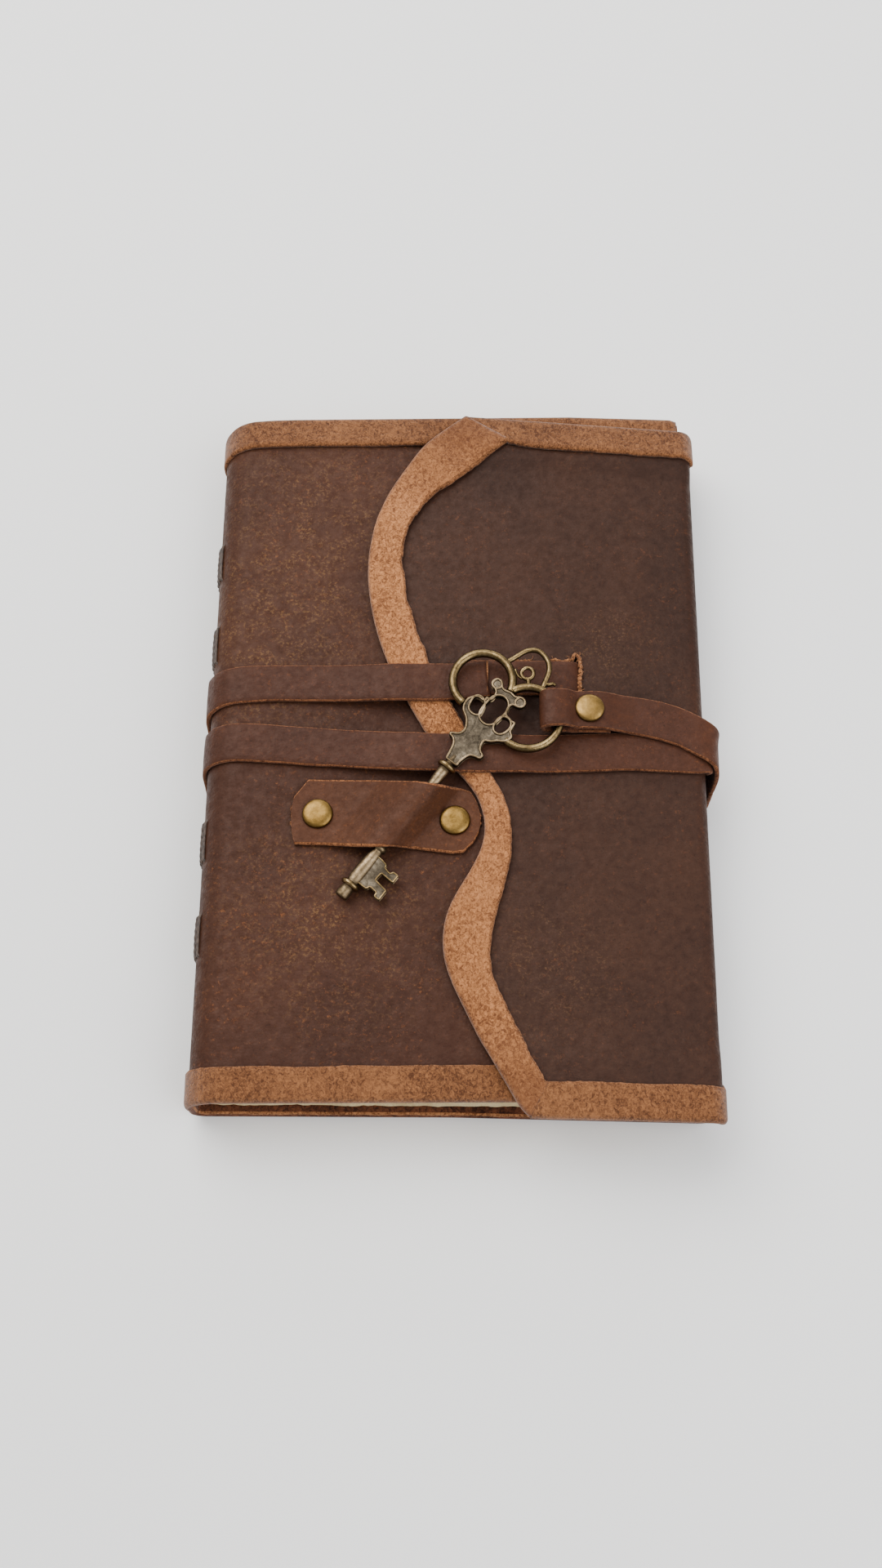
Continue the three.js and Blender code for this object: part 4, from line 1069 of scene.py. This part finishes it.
TAB_TOP = FRONT_Z + T + 0.3 + 1.1
for nm, (x, y), z, body in (("keeper_rivet_left", (-33.3, -22.3), TAB_TOP + 0.05, "front_cover"), ("keeper_rivet_right", (0.1, -23.7), TAB_TOP + 0.05, "front_cover"),
                            ("strap_rivet", (33.0, 3.8), 26.85, "key")):
    # the strap rivet takes the brighter copy, its extra brightness painted light
    look = rivet_brass if body == "front_cover" else strap_rivet_brass_lit
    post = lathe(f"{nm}_stem", [(1.1, z - (1.2 if body == "front_cover" else 3.0)), (1.1, z)], (x, y), look, 24)
    cap = lathe(f"{nm}_dome", dome(z, 3.80 if body == "front_cover" else 3.68), (x, y), look)
    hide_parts(f"{nm}_cap")
    for ob in (cap, post):
        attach(ob, body)
for nm in ("keeper_rivet_left_back", "keeper_rivet_right_back", "strap_rivet_back"):
    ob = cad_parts[nm]
    ob.data.materials.clear()
    ob.data.materials.append(rivet_brass)

# ------------------------------------------------------------------ key
kd = unit(np.array([math.cos(KA), math.sin(KA), KR]))
kn = np.array([-math.sin(KA), math.cos(KA), 0.0])
kw = np.cross(kd, kn)


def place(ob):
    """From the key's own drawing (u along the shank, v across, w up; millimetres) to the frame."""
    co = np.zeros(len(ob.data.vertices) * 3)
    ob.data.vertices.foreach_get("co", co)
    q = co.reshape(-1, 3) * 1000.0 - SHIFT
    w = KEY_TIP + q[:, :1] * kd + q[:, 1:2] * kn + q[:, 2:3] * kw
    ob.data.vertices.foreach_set("co", metres(w).ravel())
    ob.data.update()
    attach(ob, "key")
    return ob


def shank_profile():
    pts = [(0.05, 0), (1.3, 0.0), (1.58, 0.12), (1.72, 0.45), (1.76, 1.5), (1.64, 1.8), (1.62, 3.0), (1.9, 3.15), (2.35, 3.4), (2.47, 3.8), (2.35, 4.2), (1.9, 4.45), (1.6, 4.6),
           (1.80, 6.0), (1.82, 9.0), (1.70, 12.0), (1.46, 13.9), (1.25, 14.3), (1.7, 14.5), (1.82, 15.0), (1.7, 15.5), (1.25, 15.8), (1.2, 17.3), (1.2, 34.6), (1.30, 35.8), (1.44, 37.6), (1.48, 39.2), (1.55, 40.2), (1.9, 40.35),
           (2.35, 40.55), (2.47, 41.0), (2.35, 41.45), (1.9, 41.65), (1.3, 41.8), (1.0, 42.4), (0.9, 44.5), (0.05, 44.6)]
    return pts


def lathe_u(name, pts, mat, sides=32):
    p = np.array(pts, float)
    a = 2 * math.pi * np.arange(sides) / sides
    V = np.concatenate([np.stack([np.full(sides, u), r * np.cos(a), r * np.sin(a)], 1) for r, u in p])
    n = len(p)
    faces = [[i * sides + j, i * sides + (j + 1) % sides, (i + 1) * sides + (j + 1) % sides, (i + 1) * sides + j] for i in range(n - 1) for j in range(sides)]
    faces += [list(range(sides))[::-1], list(range((n - 1) * sides, n * sides))]
    return make_mesh(name, V, faces, [mat])


shank = place(lathe_u("key_shank", shank_profile(), key_rim))
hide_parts("skeleton_key")
for k, u in enumerate((3.8, 41.0)):
    place(lathe_u(f"key_collar_{k}", [(0.9, u - 0.72), (1.9, u - 0.70), (2.32, u - 0.50), (2.50, u - 0.2), (2.54, u), (2.50, u + 0.2), (2.32, u + 0.50), (1.9, u + 0.70), (0.9, u + 0.72)], key_collar))

BIT = [[13.2, -0.6], [13.2, -2.0], [12.8, -4.0], [12.0, -4.2], [11.6, -6.0], [12.4, -6.4], [12.4, -7.9], [10.2, -7.9], [10.4, -4.3],
       [8.3, -4.2], [7.8, -7.9], [4.9, -7.9], [4.9, -6.4], [6.0, -6.3], [6.2, -4.2], [5.2, -3.8], [5.2, -0.6]]
PLATE = [[42.4, 1.5], [44.3, 1.8], [46.4, 2.3], [47.6, 3.1], [47.8, 3.8], [47.7, 4.5], [48.1, 4.8], [48.6, 4.7], [48.9, 4.2], [49.3, 3.2], [50.0, 2.6], [51.2, 2.4], [52.3, 2.9],
         [53.4, 3.6], [54.0, 4.4], [54.3, 4.9], [54.8, 5.8], [55.8, 6.5], [57.1, 6.8], [58.2, 6.8], [58.7, 6.4], [59.3, 6.0], [59.9, 5.6], [60.3, 4.7], [60.2, 3.6], [60.0, 3.0],
         [60.9, 3.3], [61.4, 3.3], [61.2, 2.7], [61.0, 2.1], [61.9, 1.9], [63.1, 2.0], [63.9, 2.5], [64.0, 3.5], [64.5, 4.4], [65.5, 4.7], [66.7, 4.2], [66.9, 3.0], [66.3, 2.0],
         [65.5, 1.6], [65.3, 0.7], [65.8, -0.9], [65.6, -1.9], [65.4, -2.6], [66.2, -3.3], [66.4, -4.6], [65.8, -5.6], [64.6, -5.8], [63.6, -5.2], [63.3, -4.1], [63.3, -3.2],
         [62.6, -2.8], [61.3, -3.2], [60.3, -3.5], [60.2, -4.1], [60.2, -5.0], [59.7, -5.9], [60.1, -6.1], [60.2, -6.6], [59.8, -6.8], [59.3, -6.7], [58.7, -6.8], [58.1, -7.0],
         [57.3, -7.0], [57.2, -7.8], [56.6, -8.3], [55.6, -8.2], [54.7, -7.8], [53.8, -6.7], [53.6, -6.0], [52.8, -5.4], [52.1, -4.5], [51.7, -3.3], [51.0, -3.4], [50.0, -3.7],
         [49.3, -4.1], [48.9, -4.8], [48.7, -5.6], [48.1, -5.6], [47.2, -5.4], [47.1, -4.6], [46.9, -3.6], [46.5, -2.8], [45.3, -2.3], [43.7, -2.0], [42.4, -2.1]]
HOLES = [
    [[59.3, 5.3], [58.3, 5.2], [56.6, 4.8], [56.1, 4.2], [56.0, 2.9], [56.2, 2.2], [56.9, 2.1], [58.0, 2.4], [59.5, 2.8], [60.0, 4.0], [59.9, 4.9]],
    [[62.9, 0.9], [63.4, -0.2], [63.1, -1.4], [62.2, -2.3], [60.9, -2.6], [59.0, -2.5], [56.9, -2.2], [56.0, -1.7], [55.6, -0.6], [55.9, 0.7], [56.4, 1.4], [57.6, 1.8], [59.5, 1.9], [61.4, 1.7], [62.4, 1.4]],
    [[56.1, -3.2], [57.9, -3.0], [59.0, -3.2], [59.5, -4.3], [59.2, -5.3], [58.3, -5.9], [57.2, -5.8], [56.1, -5.5], [55.4, -4.9], [55.4, -4.0]]]


def round_loop(points, step=0.22, passes=6):
    p = np.array(points, float)
    p = resample(np.concatenate([p, p[:1]]), step)[:-1]
    return smooth_line(p, passes, closed=True)


def plate_object(name, outline, holes, half, mat, bevel=0.22):
    cu = bpy.data.curves.new(name, "CURVE")
    cu.dimensions = "2D"
    cu.fill_mode = "BOTH"
    for loop in [outline] + holes:
        sp = cu.splines.new("POLY")
        sp.points.add(len(loop) - 1)
        for q, (u, v) in zip(sp.points, loop):
            q.co = (u, v, 0, 1)
        sp.use_cyclic_u = True
    cu.extrude = half - bevel
    cu.bevel_depth = bevel
    cu.bevel_resolution = 2
    cu.offset = -bevel
    ob = bpy.data.objects.new(name + "_curve", cu)
    bpy.context.scene.collection.objects.link(ob)
    dg = bpy.context.evaluated_depsgraph_get()
    me = bpy.data.meshes.new_from_object(ob.evaluated_get(dg))
    me.name = name
    bpy.data.objects.remove(ob)
    co = np.zeros(len(me.vertices) * 3)
    me.vertices.foreach_get("co", co)
    me.vertices.foreach_set("co", metres(co.reshape(-1, 3)).ravel())
    import bmesh
    bm = bmesh.new()
    bm.from_mesh(me)
    bmesh.ops.remove_doubles(bm, verts=bm.verts, dist=1e-7)
    bmesh.ops.recalc_face_normals(bm, faces=bm.faces)
    bm.to_mesh(me)
    bm.free()
    me.materials.clear()
    me.materials.append(mat)
    out = bpy.data.objects.new(name, me)
    bpy.context.scene.collection.objects.link(out)
    return out


def arc_pts(cu_, cv_, r, a0, a1, n):
    a = np.radians(np.linspace(a0, a1, n))
    return np.stack([cu_ + r * np.cos(a), cv_ + r * np.sin(a), np.zeros(n)], 1)


def flat_path(points, w=0.0):
    p = np.asarray(points, float)
    return np.concatenate([p[:, :2], np.full((len(p), 1), w)], 1)


bit_loop = round_loop(BIT, 0.16, 1)
place(plate_object("key_bit", bit_loop, [], 0.8, key_face, 0.12))


def offset_loop(p, d):
    """Closed loop moved sideways by d, away from its inside when d is positive."""
    t = unit(np.roll(p, -1, 0) - np.roll(p, 1, 0))
    n = np.stack([t[:, 1], -t[:, 0]], 1)
    area_ = 0.5 * np.sum(p[:, 0] * np.roll(p[:, 1], -1) - np.roll(p[:, 0], -1) * p[:, 1])
    return smooth_line(p + n * d * np.sign(area_), 2, closed=True)


bit_rim = offset_loop(bit_loop, -0.10)
place(tube("key_bit_rim_top", flat_path(bit_rim, 0.72), 0.24, key_collar, 8, True))
place(tube("key_bit_rim_under", flat_path(bit_rim, -0.72), 0.24, key_rim, 8, True))
outline = round_loop(PLATE)
holes = [offset_loop(round_loop(h), 0.22) for h in HOLES]
place(plate_object("key_bow_plate", outline, holes, 0.78, key_face))
for i, loop in enumerate([offset_loop(outline, -0.24)] + [offset_loop(h, 0.28) for h in holes]):
    for side, w in (("top", 0.80), ("under", -0.80)):
        place(tube(f"key_bow_rim_{i}_{side}", flat_path(loop, w), 0.33, key_rim, 10, True))
# knobs at the ends of the crown's points, with a dished middle
for i, (u, v, rad) in enumerate([(65.4, 3.2, 1.25), (64.9, -4.3, 1.2)]):
    for side, w in (("top", 0.80), ("under", -0.80)):
        place(tube(f"key_knob_{i}_{side}", arc_pts(u, v, rad, 0, 352, 36) + np.array([0, 0, w]), 0.30, key_rim, 10, True))
for i, seam in enumerate([[[47.9, 3.9], [49.4, 1.9], [51.5, 0.9], [53.8, 1.2]], [[48.6, -4.9], [49.9, -2.7], [51.8, -1.6], [54.0, -1.2]], [[53.8, 1.2], [55.2, 1.9], [55.9, 2.0]], [[54.0, -1.2], [55.0, -2.2], [55.8, -2.8]]]):
    pts = smooth_line(resample(seam, 0.2), 6)
    place(tube(f"key_bow_line_{i}", flat_path(pts, 0.70), 0.18, key_face, 8))


place(tube("key_ring_left", arc_pts(64.05, 6.7, 7.4, 178, -76, 90), 1.10, key_ring, 16))
place(tube("key_ring_right", arc_pts(63.1, -8.0, 8.0, 66, -186, 90), 1.06, key_ring, 16))
loop_pts = [[70.9, 5.4, 0], [72.8, 4.5, 0], [74.5, 3.9, 0], [76.6, 3.2, 0], [78.1, 2.0, 0], [78.9, 0.3, 0], [78.5, -1.8, 0], [77.6, -3.6, 0], [76.3, -4.7, 0], [74.8, -5.3, 0], [73.2, -5.7, 0], [71.2, -6.3, 0]]
place(tube("key_end_loop", smooth_line(resample(loop_pts, 0.3), 8), 0.68, key_ring, 12))
curl = [[72.6, -5.9, 0], [73.1, -7.0, 0], [74.0, -7.5, 0], [73.9, -8.3, 0]]
place(tube("key_curl", smooth_line(resample(curl, 0.2), 4), np.linspace(0.6, 0.42, len(resample(curl, 0.2))), key_ring, 10))
place(tube("key_small_ring", arc_pts(72.3, -0.9, 1.5, 0, 351, 40), 0.52, key_ring, 10, True))
place(tube("key_small_stem", resample([[71.2, -2.0, 0], [69.4, -3.5, 0]], 0.3), 0.6, key_ring, 10))
hook = [[71.4, 2.2, 0], [70.7, 1.2, 0], [70.3, 0.3, 0], [70.4, -0.6, 0]]
place(tube("key_small_hook", smooth_line(resample(hook, 0.2), 3), 0.33, key_ring, 10))

# ------------------------------------------------------------------ stage, light, camera
def stage_material():
    m, nt, bsdf = new_material("pale_floor")
    bsdf.inputs["Base Color"].default_value = (0.97, 0.967, 0.96, 1)
    bsdf.inputs["Roughness"].default_value = 0.9
    return m


floor_mesh = bpy.data.meshes.new("studio_floor")
floor_mesh.from_pydata([(-3, -3, -0.0002), (3, -3, -0.0002), (3, 3, -0.0002), (-3, 3, -0.0002)], [], [(0, 1, 2, 3)])
floor_mesh.materials.append(stage_material())
floor = bpy.data.objects.new("studio_floor", floor_mesh)
bpy.context.scene.collection.objects.link(floor)


def area(name, place_at, aim, size, power, color=(1, 1, 1)):
    li = bpy.data.lights.new(name, "AREA")
    li.shape = "RECTANGLE"
    li.size, li.size_y = size
    li.energy = power
    li.color = color
    ob = bpy.data.objects.new(name, li)
    ob.location = place_at
    ob.rotation_euler = (Vector(aim) - Vector(place_at)).to_track_quat("-Z", "Y").to_euler()
    bpy.context.scene.collection.objects.link(ob)


area("key_light", (-0.38, 0.42, 0.85), (0, 0, 0), (0.9, 0.9), 14.6, (1.0, 0.98, 0.95))
area("fill_light", (0.65, -0.35, 0.7), (0, 0, 0), (1.0, 1.0), 10.5, (0.97, 0.98, 1.0))
area("rim_light", (0.1, 0.9, 0.35), (0, 0, 0.02), (0.9, 0.3), 3)
world = bpy.data.worlds.new("studio")
world.use_nodes = True
world.node_tree.nodes["Background"].inputs["Color"].default_value = (1, 1, 1, 1)
world.node_tree.nodes["Background"].inputs["Strength"].default_value = 0.49
bpy.context.scene.world = world

F, EL, YAW, DIST = 2021.15, math.radians(69), math.radians(-0.47), 414.15
target = np.array([-3.38, -10.69, 12.0])
fwd = np.array([math.sin(YAW) * math.cos(EL), math.cos(YAW) * math.cos(EL), -math.sin(EL)])
rgt = np.array([math.cos(YAW), -math.sin(YAW), 0.0])
upv = np.cross(rgt, fwd)
eye = metres(target - fwd * DIST)
cam_data = bpy.data.cameras.new("photo_camera")
cam_data.sensor_width = 36.0
cam_data.sensor_fit = "AUTO"
cam_data.lens = F * 36.0 / 1920.0
cam = bpy.data.objects.new("photo_camera", cam_data)
m = Matrix(((rgt[0], upv[0], -fwd[0], eye[0]), (rgt[1], upv[1], -fwd[1], eye[1]), (rgt[2], upv[2], -fwd[2], eye[2]), (0, 0, 0, 1)))
cam.matrix_world = m
bpy.context.scene.collection.objects.link(cam)
bpy.context.scene.camera = cam
